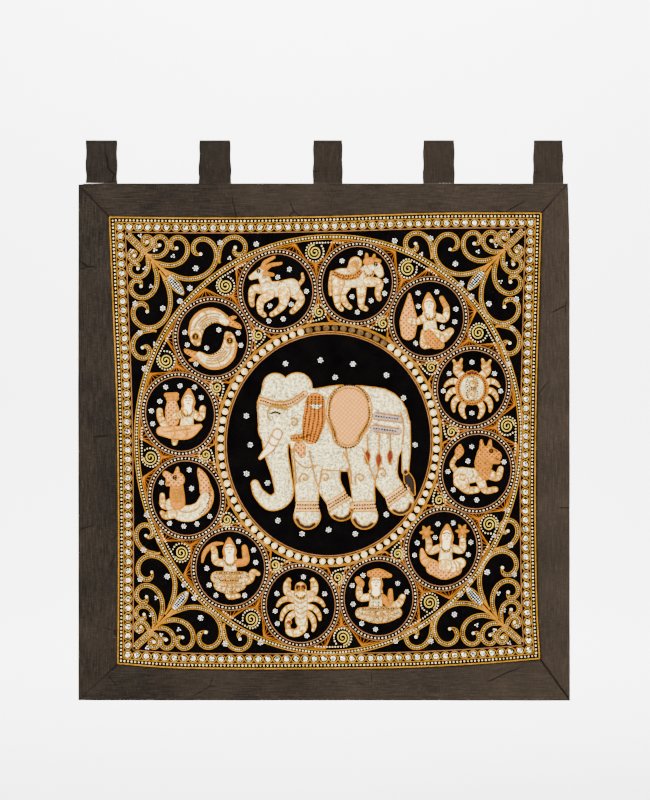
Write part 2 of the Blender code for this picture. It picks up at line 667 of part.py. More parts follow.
def scroll_path(scroll, count):
    """A scroll in corner shares: from its root on the stem it winds in to its own middle."""
    start = np.array([scroll.root_a - scroll.centre_a, scroll.root_b - scroll.centre_b])
    reach = np.linalg.norm(start)
    heading = math.degrees(math.atan2(start[1], start[0]))
    swept = np.linspace(0, SCROLL_SWEEP, count)
    ring = SCROLL_FLARE * scroll.ring
    radius = (reach - ring) * np.exp(-swept / SCROLL_DECAY) + ring * (1 - swept / SCROLL_FULL)
    angle = np.radians(heading + scroll.turn * swept)
    return np.stack([
        scroll.centre_a + radius * np.cos(angle),
        scroll.centre_b + radius * np.sin(angle),
    ], axis=1)


def corner_paths(count):
    """Every scroll, stem and leaf of the four corners, in metres on the panel."""
    shapes = [scroll_path(scroll, count) for scroll in SCROLLS]
    shapes += [path[:, ::-1] for path in shapes]
    shapes += [np.array(STEM), np.array(LEAF)]
    paths = []
    for across in (-1, 1):
        for up in (-1, 1):
            for shape in shapes:
                paths.append(np.array([panel_point(across * (1 - a), up * (1 - b)) for a, b in shape]))
    return paths


def inset_path(side, inset, count):
    """A line at a constant distance inside one edge of the panel."""
    u, v = 1 - inset / PANEL_HALF_WIDTH, 1 - inset / PANEL_HALF_HEIGHT
    ends = {
        "bottom": ((-u, -v), (u, -v)),
        "top": ((-u, v), (u, v)),
        "left": ((-u, -v), (-u, v)),
        "right": ((u, -v), (u, v)),
    }[side]
    shares = np.linspace(0, 1, count)
    return np.array([
        panel_point(ends[0][0] + (ends[1][0] - ends[0][0]) * s, ends[0][1] + (ends[1][1] - ends[0][1]) * s)
        for s in shares
    ])


def raised_work():
    """Every raised band of the panel: its path, whether it closes, its half width and its height."""
    bands = []
    for k in range(12):
        centre = orbit_point(ROUNDEL_ORBIT, ROUNDEL_PHASE + STEP * k)
        bands.append((circle_path(centre, ROUNDEL_RADIUS, RING_STEPS.roundel), True, *RING_BAND))
    bands.append((circle_path(CENTRE, PEARL_RADIUS, RING_STEPS.pearls), True, *PEARL_BAND))
    bands.append((circle_path(CENTRE, OUTER_RADIUS, RING_STEPS.outer), True, *OUTER_BAND))
    for side in ("bottom", "top", "left", "right"):
        bands.append((inset_path(side, SEQUIN_INSET, SIDE_STEPS), False, *SEQUIN_BAND))
        bands.append((inset_path(side, BEAD_INSET, SIDE_STEPS), False, *BEAD_BAND))
    bands += [(path, False, *SCROLL_BAND) for path in corner_paths(SCROLL_STEPS)]
    return bands


def offsets(path, closed):
    """The unit normals along a path."""
    if closed:
        along = np.roll(path, -1, axis=0) - np.roll(path, 1, axis=0)
    else:
        along = np.gradient(path, axis=0)
    along /= np.linalg.norm(along, axis=1)[:, None]
    return np.stack([-along[:, 1], along[:, 0]], axis=1)


def distance_to(points, path, closed):
    """The distance from each point to a path of straight steps."""
    starts = path if closed else path[:-1]
    ends = np.roll(path, -1, axis=0) if closed else path[1:]
    run = ends - starts
    offset = points[:, None, :] - starts[None, :, :]
    share = np.clip((offset * run).sum(2) / (run ** 2).sum(1), 0, 1)
    return np.linalg.norm(offset - share[:, :, None] * run, axis=2).min(axis=1)


def make_panel():
    """The velvet panel, with its bands, scrolls and rosettes raised in its face."""
    outline = outline_points(panel_side)
    points = [tuple(p) for p in outline]
    rim = list(range(len(points)))
    edges = []
    bands = raised_work()
    for path, closed, half_width, _ in bands:
        normal = offsets(path, closed)
        for shift in (-half_width, 0.0, half_width):
            first = len(points)
            points += [tuple(p) for p in path + normal * shift]
            last = len(points) - 1
            edges += [(i, i + 1) for i in range(first, last)]
            if closed:
                edges.append((last, first))
    domes = []
    for rosette in ROSETTES:
        for k in range(12):
            centre = orbit_point(rosette.orbit, ROSETTE_PHASE + STEP * k)
            rim_points = circle_path(centre, rosette.radius, ROSETTE_STEPS)
            middle = panel_point(*centre)
            first = len(points)
            points += [tuple(p) for p in rim_points] + [tuple(middle)]
            edges += [(first + i, first + (i + 1) % ROSETTE_STEPS) for i in range(ROSETTE_STEPS)]
            domes.append((middle, rosette.radius * PANEL_HALF_WIDTH, rosette.height))
    points += [tuple(panel_point(u, v)) for u, v in inner_grid()]
    flat, faces, _ = triangulate(points, edges, [rim])
    height = np.zeros(len(flat))
    for path, closed, half_width, rise in bands:
        share = 1 - distance_to(flat, path, closed) / half_width
        height = np.maximum(height, rise * np.clip(share, 0, 1))
    for middle, radius, rise in domes:
        share = 1 - (np.linalg.norm(flat - middle, axis=1) / radius) ** 2
        height = np.maximum(height, rise * np.clip(share, 0, 1))
    near_rim = edge_distance(flat) < EDGING_WIDTH + SEAM_GAP
    height[near_rim] = 0.0
    front = panel_front(flat[:, 0], flat[:, 1]) - height
    make_two_sided("velvet_panel", flat, faces, front)


def inner_grid():
    """Plain points over the middle disc, the roundels and the field, where no band passes."""
    places = [CENTRE]
    for share, count in ((0.25, 6), (0.5, 10), (0.78, 16)):
        for k in range(count):
            places.append(orbit_point(DISC_RADIUS * share, 360 * k / count))
    for k in range(12):
        centre = orbit_point(ROUNDEL_ORBIT, ROUNDEL_PHASE + STEP * k)
        places.append(centre)
        for turn in range(5):
            angle = math.radians(72 * turn)
            places.append((
                centre[0] + 0.5 * ROUNDEL_RADIUS * math.cos(angle),
                centre[1] + 0.5 * ROUNDEL_RADIUS * math.sin(angle),
            ))
    return places


def edge_distance(flat):
    """The distance from each point to the panel's outline."""
    return distance_to(flat, outline_points(panel_side), True)


def outline_points(side):
    """An outline, anticlockwise from the lower left corner as seen from the front."""
    shares = np.arange(OUTLINE_STEPS) / OUTLINE_STEPS
    rows = [side("bottom", s) for s in shares]
    rows += [side("right", s) for s in shares]
    rows += [side("top", 1 - s) for s in shares]
    rows += [side("left", 1 - s) for s in shares]
    return np.array(rows) + (0, BODY_MID_Z)


def make_two_sided(name, flat, faces, front):
    """A sheet with a worked front and a plain back that share the same rim."""
    near = [tuple(f) for f in faces]
    rim = loose_edges(near)
    rim_points = sorted({i for edge in rim for i in edge})
    back_number = {old: new for new, old in enumerate(rim_points)}
    plain = [tuple(flat[i]) for i in rim_points]
    ring = [(back_number[a], back_number[b]) for a, b in rim]
    rows = np.linspace(-0.8, 0.8, BACK_GRID)
    plain += [tuple(panel_point(u, v)) for u in rows for v in rows]
    back_flat, back_faces, _ = triangulate(plain, ring, [follow(ring)])
    back = sway(back_flat[:, 0], back_flat[:, 1]) + PANEL_THICK / 2
    start = len(flat)
    points = [(p[0], y, p[1]) for p, y in zip(flat, front)]
    points += [(p[0], y, p[1]) for p, y in zip(back_flat, back)]
    solid = near + [tuple(start + i for i in reversed(f)) for f in back_faces]
    solid += [(b, a, start + back_number[a], start + back_number[b]) for a, b in rim]
    used = sorted({i for f in solid for i in f})
    number = {old: new for new, old in enumerate(used)}
    return add_object(name, [points[i] for i in used], [tuple(number[i] for i in f) for f in solid], "velvet")


def follow(ring):
    """Puts the edges of a closed ring in order and returns its points."""
    after = dict(ring)
    here = ring[0][0]
    order = [here]
    while after[here] != order[0]:
        here = after[here]
        order.append(here)
    return order


def grid_faces(wide, long, flip):
    """The quads of a grid of points kept row by row."""
    corners = [(j * long + i, long) for j in range(wide - 1) for i in range(long - 1)]
    faces = [(a, a + 1, a + 1 + row, a + row) for a, row in corners]
    return [f[::-1] for f in faces] if flip else faces


def make_borders():
    """Four silk strips, mitred at the corners, a seam's gap from the panel and from each other."""
    outward = {"bottom": (0, -1), "top": (0, 1), "left": (-1, 0), "right": (1, 0)}
    shares = np.linspace(MITRE_TRIM, 1 - MITRE_TRIM, BORDER_STEPS)
    for side, way in outward.items():
        inner = np.array([panel_side(side, s) for s in shares]) + (0, BODY_MID_Z)
        outer = np.array([body_side(side, s) for s in shares]) + (0, BODY_MID_Z)
        inner = inner + np.array(way) * SEAM_GAP
        rows = np.array([inner + (outer - inner) * t for t in np.linspace(0, 1, BORDER_ROWS + 1)])
        flat = rows.reshape(-1, 2)
        faces = grid_faces(BORDER_ROWS + 1, BORDER_STEPS, side in ("bottom", "right"))
        ripple = np.sin(2 * math.pi * (flat[:, 0] + 0.8 * flat[:, 1]) / BORDER_WAVE[1])
        depth = sway(flat[:, 0], flat[:, 1]) + BORDER_WAVE[0] * ripple
        half = BORDER_THICK / 2
        sheet_solid("border_" + side, flat, faces, depth - half, depth + half, "border_silk")


def make_edging():
    """The gold braid over the panel's four edges: the side runs end between the top and bottom ones."""
    end_u = 1 - EDGING_INSET / PANEL_HALF_WIDTH
    end_v = 1 - (EDGING_WIDTH + SEAM_GAP) / PANEL_HALF_HEIGHT
    insets = (EDGING_INSET, EDGING_WIDTH / 2, EDGING_WIDTH)
    shoulders = (EDGING_SHOULDER, 1.0, EDGING_SHOULDER)
    for side in ("bottom", "top", "left", "right"):
        rows = []
        for inset in insets:
            u, v = 1 - inset / PANEL_HALF_WIDTH, 1 - inset / PANEL_HALF_HEIGHT
            for t in np.linspace(-1, 1, EDGE_STEPS):
                place = {
                    "bottom": (t * end_u, -v),
                    "top": (t * end_u, v),
                    "left": (-u, t * end_v),
                    "right": (u, t * end_v),
                }[side]
                rows.append(panel_point(*place))
        flat = np.array(rows)
        faces = grid_faces(len(insets), EDGE_STEPS, side in ("top", "left"))
        seat = panel_front(flat[:, 0], flat[:, 1]) - SEAT_GAP
        height = EDGING_THICK * np.repeat(shoulders, EDGE_STEPS)
        sheet_solid("edging_" + side, flat, faces, seat - height, seat, "gold_braid")


def tab_profile():
    """Half of a tab's section, from its seam up to the fold: inner and outer depth and height."""
    gap = TAB_GAP / 2
    foot_z = BODY_TOP_Z + SEAM_GAP
    seam_top = foot_z + TAB_SEAM
    arc_z = TAB_TOP_Z - TAB_THICK - gap
    inner = [(TAB_CREASE, seam_top)]
    for share in TAB_FLARE:
        eased = share * share * (3 - 2 * share)
        inner.append((TAB_CREASE + (gap - TAB_CREASE) * eased, seam_top + TAB_SPREAD * share))
    for turn in np.linspace(0, math.pi / 2, TAB_FOLD_STEPS):
        inner.append((gap * math.cos(turn), arc_z + gap * math.sin(turn)))
    rows = np.array(inner)
    along = np.gradient(rows, axis=0)
    along[-1] = (-1, 0)
    along /= np.linalg.norm(along, axis=1)[:, None]
    outer = rows + np.stack([along[:, 1], -along[:, 0]], axis=1) * TAB_THICK
    outer[0] = (TAB_THICK, foot_z)
    rows[-1, 0], outer[-1, 0] = 0.0, 0.0
    return rows, outer


def make_tab(number, tab):
    """A strip of silk folded into a loop, both ends together in the seam."""
    rings = [np.vstack([half, half[-2::-1] * (-1, 1)]) for half in tab_profile()]
    foot_z = BODY_TOP_Z + SEAM_GAP
    points = []
    for ring in rings:
        for side in (-1, 1):
            for y, z in ring:
                share = (z - foot_z) / TAB_RISE
                width = tab.foot_width + (tab.top_width - tab.foot_width) * share
                points.append((tab.centre + side * width / 2, y, z))
    count = len(rings[0])
    outer_left, outer_right, inner_left, inner_right = 2 * count, 3 * count, 0, count
    faces = []
    for i in range(count):
        j = (i + 1) % count
        faces.append((outer_left + i, outer_left + j, outer_right + j, outer_right + i))
        faces.append((inner_left + j, inner_left + i, inner_right + i, inner_right + j))
        faces.append((outer_left + j, outer_left + i, inner_left + i, inner_left + j))
        faces.append((outer_right + i, outer_right + j, inner_right + j, inner_right + i))
    return add_object(f"tab_{number}", points, faces, "border_silk")


def make_figures():
    """The padded figures of the twelve roundels."""
    unit_x, unit_z = FIGURE_UNIT * PANEL_HALF_WIDTH, FIGURE_UNIT * PANEL_HALF_HEIGHT
    for k, (name, patches) in enumerate(FIGURES.items()):
        place = panel_point(*orbit_point(ROUNDEL_ORBIT, ROUNDEL_PHASE + STEP * k))
        turns = {"fish_upper": 1.0, "fish_lower": -1.0} if name == "fish" else {name: 1.0}
        for part, turn in turns.items():
            padded_figure("figure_" + part, placed(all_strokes(patches), place, unit_x, unit_z, turn))


def make_elephant():
    """The padded elephant, and the cloths and tassels sewn on it, which follow its surface."""
    place = panel_point(*CENTRE)
    unit_x, unit_z = DISC_RADIUS * PANEL_HALF_WIDTH, DISC_RADIUS * PANEL_HALF_HEIGHT
    strokes = placed(all_strokes(ELEPHANT_BODY), place, unit_x, unit_z)
    overlays = placed((SADDLE, NECK_CLOTH, *STRAPS, *TASSELS), place, unit_x, unit_z)
    names = ("saddle_cloth", "neck_cloth", "upper_strap", "lower_strap", "tassel_1", "tassel_2", "tassel_3")
    outlines = [limb_outline(stroke, ELEPHANT_STEPS) for stroke in strokes]
    first_overlay = len(outlines)
    outlines += [limb_outline(stroke, OVERLAY_STEPS) for stroke in overlays]
    flat, faces, covers = cover(outlines)
    on_body = [f for f, over in zip(faces, covers) if any(i < first_overlay for i in over)]
    height = padded_height(depth_inside(flat, strokes), ELEPHANT_PAD)
    seat = panel_front(flat[:, 0], flat[:, 1]) - SEAT_GAP
    sheet_solid("elephant_body", flat, on_body, seat - height, seat, "silver_cloth")
    under = seat - height - SEAM_GAP
    cloths = ("peach_cloth", "orange_cloth", "lilac_cloth", "lilac_cloth", *["red_thread"] * len(TASSELS))
    for k, (name, cloth) in enumerate(zip(names, cloths)):
        own = [f for f, over in zip(faces, covers) if first_overlay + k in over]
        sheet_solid("elephant_" + name, flat, own, under - OVERLAY_THICK, under, cloth)


clear_scene()
make_panel()
make_borders()
make_edging()
for index, tab_row in enumerate(TABS):
    make_tab(index + 1, tab_row)
make_figures()
make_elephant()
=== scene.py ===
# %% [markdown]
# # A kalaga wall hanging
# A kalaga is a black velvet cloth worked with padded figures, couched gold cord, beads and sequins.
# This one has an elephant in the middle, twelve zodiac roundels round it, and scrolls in the corners.
# A dark silk border with mitred corners frames it, and it hangs from five cloth tabs.
# The frame gives the solids' places, and every piece below sits on them.

# %% Load the frame
import math
from collections import namedtuple

import bpy
import numpy as np
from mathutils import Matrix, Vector, noise


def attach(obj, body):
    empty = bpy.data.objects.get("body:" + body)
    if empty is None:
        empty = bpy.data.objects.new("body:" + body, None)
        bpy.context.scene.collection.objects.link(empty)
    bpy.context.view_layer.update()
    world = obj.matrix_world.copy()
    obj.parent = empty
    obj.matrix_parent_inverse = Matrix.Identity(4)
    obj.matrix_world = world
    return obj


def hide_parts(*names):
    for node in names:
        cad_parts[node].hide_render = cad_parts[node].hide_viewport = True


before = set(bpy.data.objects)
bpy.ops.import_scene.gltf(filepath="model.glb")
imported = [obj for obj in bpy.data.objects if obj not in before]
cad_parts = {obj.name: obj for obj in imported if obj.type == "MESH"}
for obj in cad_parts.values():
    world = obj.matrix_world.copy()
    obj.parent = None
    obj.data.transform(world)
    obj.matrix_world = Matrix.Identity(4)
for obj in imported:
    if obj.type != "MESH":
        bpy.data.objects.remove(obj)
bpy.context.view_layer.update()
BODY = "root"

# %% [markdown]
# ## Camera, light and floor
# The photo is square-on with the whole cloth in view, so the camera stands far back on a long lens.
# One photo pixel is 1.87 mm on the cloth, which sets the camera's distance.
# A white sweep stands well behind the cloth, and two broad lamps light it evenly.

# %% The camera
PIXEL = 0.00187
PHOTO_WIDTH, PHOTO_HEIGHT = 650, 800
PHOTO_MIDDLE_X = 323.75
TAB_TOP_Z, TAB_TOP_ROW = 0.0085, 140
LENS, SENSOR = 100, 36
camera = bpy.data.objects.new("camera", bpy.data.cameras.new("camera"))
camera.data.lens = LENS
camera.data.sensor_width = SENSOR
camera_distance = LENS / SENSOR * PHOTO_HEIGHT * PIXEL
camera_x = (PHOTO_WIDTH / 2 - PHOTO_MIDDLE_X) * PIXEL
camera_z = TAB_TOP_Z - (PHOTO_HEIGHT / 2 - TAB_TOP_ROW) * PIXEL
camera.location = (camera_x, -camera_distance, camera_z)
camera.rotation_euler = (math.pi / 2, 0, 0)
bpy.context.scene.collection.objects.link(camera)
bpy.context.scene.camera = camera
print("camera stands back", round(camera_distance, 3), "m")

# %% A helper that links a new mesh object into the scene
def add_mesh(name, points, faces, edges=()):
    mesh = bpy.data.meshes.new(name)
    mesh.from_pydata(np.asarray(points, float).tolist(), list(edges), [tuple(map(int, f)) for f in faces])
    obj = bpy.data.objects.new(name, mesh)
    bpy.context.scene.collection.objects.link(obj)
    return obj


# %% The white sweep: a floor that curves up into a wall
FLOOR_Z, SWEEP_BACK, SWEEP_RADIUS, SWEEP_WIDTH, SWEEP_TOP = -1.40, 5.5, 0.9, 14.0, 6.5
FLOOR_FRONT = -4.6


def make_sweep():
    turns = np.linspace(0, math.pi / 2, 13)
    curve = [(SWEEP_BACK - SWEEP_RADIUS + SWEEP_RADIUS * math.sin(t),
              FLOOR_Z + SWEEP_RADIUS * (1 - math.cos(t))) for t in turns]
    profile = [(FLOOR_FRONT, FLOOR_Z), *curve, (SWEEP_BACK, SWEEP_TOP)]
    points = [(side * SWEEP_WIDTH / 2, y, z) for side in (-1, 1) for y, z in profile]
    count = len(profile)
    faces = [(i, i + count, i + 1 + count, i + 1) for i in range(count - 1)]
    sweep = add_mesh("floor_sweep", points, faces)
    sweep.data.shade_smooth()
    return sweep


sweep = make_sweep()

# %% Soft lamps and a pale world
Lamp = namedtuple("Lamp", "name place size power")
LAMPS = (
    Lamp("lamp_left", (-2.1, -2.3, 1.0), 1.4, 240),
    Lamp("lamp_right", (2.2, -2.4, 0.5), 1.8, 120),
    Lamp("lamp_wall", (0.0, 3.2, 3.4), 4.2, 1300),
)
WORLD_STRENGTH = 1.2


def light_scene():
    for lamp in LAMPS:
        data = bpy.data.lights.new(lamp.name, "AREA")
        data.size = lamp.size
        data.energy = lamp.power
        obj = bpy.data.objects.new(lamp.name, data)
        obj.location = lamp.place
        target = Vector((0, SWEEP_BACK, -0.2)) if lamp.name == "lamp_wall" else Vector((0, 0, -0.5))
        obj.rotation_euler = (target - obj.location).to_track_quat("-Z", "Y").to_euler()
        bpy.context.scene.collection.objects.link(obj)
    world = bpy.data.worlds.new("pale_room")
    world.use_nodes = True
    world.node_tree.nodes["Background"].inputs["Color"].default_value = (1, 1, 1, 1)
    world.node_tree.nodes["Background"].inputs["Strength"].default_value = WORLD_STRENGTH
    bpy.context.scene.world = world


light_scene()
print("lamps:", [lamp.name for lamp in LAMPS])

# %% [markdown]
# ## Finishes
# Each cloth and thread gets a material made of nodes. Writing node links by hand is long,
# so a small class lets a finish be written as arithmetic: every sum on a wire adds a Math node.

# %% Wires: arithmetic that adds Math nodes
class Wire:
    """A value on its way through a material."""

    def __init__(self, finish, socket):
        self.finish, self.socket = finish, socket

    def maths(self, operation, first, second):
        return self.finish.node("ShaderNodeMath", {"operation": operation}, {0: first, 1: second})

    def __add__(self, other):
        return self.maths("ADD", self, other)

    def __sub__(self, other):
        return self.maths("SUBTRACT", self, other)

    def __rsub__(self, other):
        return self.maths("SUBTRACT", other, self)

    def __mul__(self, other):
        return self.maths("MULTIPLY", self, other)

    def __gt__(self, other):
        return self.maths("GREATER_THAN", self, other)

    __radd__ = __add__
    __rmul__ = __mul__


# %% A finish: one Principled material under construction
class Finish:
    """A material whose nodes are added one call at a time."""

    def __init__(self, name, **constants):
        self.material = bpy.data.materials.new(name)
        self.material.use_nodes = True
        self.tree = self.material.node_tree
        self.shader = self.tree.nodes["Principled BSDF"]
        self.shader.inputs["Specular IOR Level"].default_value = 0.12
        for socket, value in constants.items():
            self.shader.inputs[socket.replace("_", " ")].default_value = value

    def node(self, kind, settings=None, values=None, out=0):
        made = self.tree.nodes.new(kind)
        for key, value in (settings or {}).items():
            setattr(made, key, value)
        for key, value in (values or {}).items():
            self.plug(made.inputs[key], value)
        return Wire(self, made.outputs[out])

    def plug(self, socket, value):
        if isinstance(value, Wire):
            self.tree.links.new(value.socket, socket)
        elif hasattr(socket.default_value, "__len__") and len(value) == 3 and len(socket.default_value) == 4:
            socket.default_value = (*value, 1.0)
        else:
            socket.default_value = value

    def feed(self, socket, wire):
        self.plug(self.shader.inputs[socket], wire)

    def place(self, stretch=(1, 1, 1), turn=(0, 0, 0)):
        """The object's own coordinates, stretched and turned."""
        where = self.node("ShaderNodeTexCoord", out="Object")
        return self.node("ShaderNodeMapping", None, {"Vector": where, "Scale": stretch, "Rotation": turn})

    def speckle(self, scale, stretch=(1, 1, 1), detail=3.0, roughness=0.6):
        values = {"Vector": self.place(stretch), "Scale": scale, "Detail": detail, "Roughness": roughness}
        return self.node("ShaderNodeTexNoise", None, values)

    def cells(self, scale, stretch=(1, 1, 1)):
        return self.node("ShaderNodeTexVoronoi", None, {"Vector": self.place(stretch), "Scale": scale})

    def creases(self, scale, width):
        """Straight pressed creases here and there, as a mask for the silk's bump and its painted shade."""
        edge = self.node("ShaderNodeTexVoronoi", {"feature": "DISTANCE_TO_EDGE"}, {
            "Vector": self.place(), "Scale": scale})
        here = self.ramp(self.speckle(scale * 0.9, detail=1), 0.58, 0.64)
        return (1 - self.ramp(edge, 0.0, width)) * here

    def axis(self, letter, turn=0.0):
        """One coordinate in metres, after a turn about the depth axis."""
        split = self.tree.nodes.new("ShaderNodeSeparateXYZ")
        self.plug(split.inputs[0], self.place(turn=(0, turn, 0)))
        return Wire(self, split.outputs[letter])

    def wave(self, wire, length):
        """A sine from 0 to 1 that repeats every length."""
        sine = self.node("ShaderNodeMath", {"operation": "SINE"}, {0: wire * (2 * math.pi / length)})
        return sine * 0.5 + 0.5

    def ramp(self, wire, low, high):
        values = {"Value": wire, "From Min": low, "From Max": high}
        return self.node("ShaderNodeMapRange", {"clamp": True}, values)

    def blend(self, share, first, second):
        return self.node("ShaderNodeMix", {"data_type": "RGBA"}, {0: share, 6: first, 7: second}, out=2)

    def bump(self, height, depth, strength=1.0):
        self.feed("Normal", self.node("ShaderNodeBump", None, {
            "Height": height, "Distance": depth, "Strength": strength}))


# %% Cloth finishes
def velvet_finish():
    """Black pile: almost no shine, a little cool dust in the nap."""
    cloth = Finish("black_velvet", Sheen_Weight=0.002, Sheen_Roughness=0.4, Specular_IOR_Level=0.01)
    nap = cloth.speckle(900, detail=2)
    cloud = cloth.speckle(26, detail=4)
    cloth.feed("Base Color", cloth.blend(cloth.ramp(nap * 0.7 + cloud * 0.5, 0.5, 0.85),
                                         (0.0005, 0.0004, 0.0004), (0.0028, 0.0022, 0.0022)))
    cloth.feed("Roughness", cloud * 0.1 + 0.85)
    cloth.bump(nap, 0.0004, 0.6)
    return cloth.material


def silk_finish(name, along, light=None):
    """Slubby brown silk: long threads one way, short slubs, cloudy wear and painted shade in the creases."""
    cloth = Finish(name, Specular_IOR_Level=0.05)
    threads, slubs, weft = (cloth.speckle(1.0, (a, 1, b) if along == "x" else (b, 1, a), detail)
                            for a, b, detail in ((26, 420, 3), (70, 330, 2), (520, 90, 2)))
    slubs = cloth.ramp(slubs, 0.56, 0.75)
    cloud = cloth.speckle(7, detail=5)
    crease = cloth.creases(13, 0.013)
    # The x term makes the tone lighter towards +x.
    tone = threads * 0.55 + cloud * 0.35 + weft * 0.35 + slubs * 0.20 + cloth.axis("X") * 0.16
    # Painted shade: the tone drops along the creases, where the bump sinks a groove.
    tone = tone - crease * 0.20
    cloth.feed("Base Color", cloth.blend(cloth.ramp(tone, 0.46, 0.88), SILK_DARK, light or SILK_LIGHT))
    cloth.feed("Roughness", 0.62 - threads * 0.18)
    cloth.bump(threads * 0.6 + slubs * 0.8 + weft * 0.4 - crease * 3, 0.0009, 0.8)
    return cloth.material


def satin_finish(name, light, dark, crinkle=0.5, middle=None, scale=260):
    """Padded satin: fine crinkles with painted shade and highlight, over broad patches of tone."""
    cloth = Finish(name)
    fold = cloth.speckle(scale, detail=4, roughness=0.7)
    grain = cloth.speckle(1500, detail=1)
    patches = cloth.ramp(cloth.speckle(120, detail=2), 0.46, 0.56)
    ground = cloth.blend(patches, middle or light, light)
    # Painted shade and highlight: the fold noise that drives the bump darkens the hollows and lightens the
    # ridges.
    cloth.feed("Base Color", cloth.blend(cloth.ramp(fold * 0.85 + grain * 0.3, 0.46, 0.64), dark, ground))
    cloth.feed("Roughness", 0.62 - fold * 0.3)
    cloth.bump(fold, 0.0022, crinkle)
    return cloth.material


def metal_cloth_finish(name):
    """Silvery cloth over padding: crumpled foil with painted highlight and shade, and fine dark specks."""
    cloth = Finish(name, Specular_IOR_Level=0.5)
    fold = cloth.speckle(190, detail=4, roughness=0.75)
    cloud = cloth.speckle(45, detail=3)
    fleck = cloth.ramp(cloth.speckle(300, detail=2) + cloud * 0.35, 0.71, 0.76)
    # Painted highlight and shade: the fold noise that drives the bump sets the colour, light on ridges, dark
    # in hollows.
    bright = cloth.ramp(fold * 0.9 + cloud * 0.15, 0.44, 0.58)
    base = cloth.blend(bright, (0.42, 0.29, 0.10), (0.98, 0.88, 0.44))
    cloth.feed("Base Color", cloth.blend(fleck * 0.75, base, (0.060, 0.044, 0.020)))
    cloth.feed("Roughness", 0.60 - fold * 0.25)
    cloth.bump(fold, 0.0034, 1.0)
    return cloth.material


def dotted_finish(name, ground, dark, dot, pitch):
    """Satin with rows of small darker stitches, as on manes, hats and fins, and painted shade in its folds.
    """
    cloth = Finish(name)
    a = cloth.wave(cloth.axis("X", 0.785), pitch)
    b = cloth.wave(cloth.axis("Z", 0.785), pitch)
    spots = cloth.ramp(a * b, 0.50, 0.72)
    fold = cloth.speckle(300, detail=3)
    # Painted shade: the fold noise that drives the bump darkens the hollows toward the dark colour.
    base = cloth.blend(cloth.ramp(fold, 0.35, 0.65), dark, ground)
    cloth.feed("Base Color", cloth.blend(spots, base, dot))
    cloth.feed("Roughness", 0.55 - spots * 0.2)
    cloth.bump(fold * 0.6 + spots * 0.8, 0.0012, 0.6)
    return cloth.material


def striped_finish(name, ground, shade, dot):
    """Vivid satin with upright columns of dark stitches, and painted shade in its folds."""
    cloth = Finish(name)
    column = cloth.ramp(cloth.wave(cloth.axis("X", 0.10), 0.0062), 0.66, 0.84)
    step = cloth.ramp(cloth.wave(cloth.axis("Z", 0.10), 0.0042), 0.34, 0.56)
    fold = cloth.speckle(300, detail=3)
    # Painted shade: the fold noise that drives the bump darkens the hollows toward the shade colour.
    base = cloth.blend(cloth.ramp(fold, 0.35, 0.60), shade, ground)
    cloth.feed("Base Color", cloth.blend(column * step * 0.5, base, dot))
    cloth.feed("Roughness", 0.55 - fold * 0.2)
    cloth.bump(fold * 0.6 - column * 0.4, 0.0012, 0.6)
    return cloth.material


def lattice_finish(name, ground, line, dot, pitch):
    """The saddle cloth: peach satin crossed by slanting stitched lines, with a dot in each diamond."""
    cloth = Finish(name)
    a = cloth.wave(cloth.axis("X", 0.85), pitch)
    b = cloth.wave(cloth.axis("Z", 0.85), pitch)
    lines = cloth.node("ShaderNodeMath", {"operation": "MAXIMUM"}, {
        0: cloth.ramp(a, 0.62, 0.86), 1: cloth.ramp(b, 0.62, 0.86)})
    dots = cloth.ramp((1 - a) * (1 - b), 0.84, 0.92)
    fold = cloth.speckle(300, detail=3)
    base = cloth.blend(cloth.ramp(fold, 0.3, 0.7) * 0.6, ground, line)
    cloth.feed("Base Color", cloth.blend(dots, cloth.blend(lines, base, line), dot))
    cloth.feed("Roughness", 0.5 - lines * 0.1)
    cloth.bump(lines * 0.8 + fold * 0.4, 0.001, 0.6)
    return cloth.material


def patterned_finish(name):
    """Figured skirt cloth: brown and silver scribbles on cream, with painted shade in its folds."""
    cloth = Finish(name)
    swirl = cloth.cells(150)
    fold = cloth.speckle(190, detail=4, roughness=0.8)
    marks = cloth.ramp(cloth.wave(swirl + fold * 0.7, 0.33), 0.45, 0.75)
    # Painted shade: the fold noise that drives the bump darkens the hollows toward dark brown.
    base = cloth.blend(cloth.ramp(fold, 0.4, 0.6), (0.25, 0.13, 0.035), (0.90, 0.62, 0.20))
    cloth.feed("Base Color", cloth.blend(marks * 0.95, base, (0.026, 0.012, 0.006)))
    cloth.feed("Roughness", 0.55 - fold * 0.2)
    cloth.bump(fold, 0.0012, 0.6)
    return cloth.material


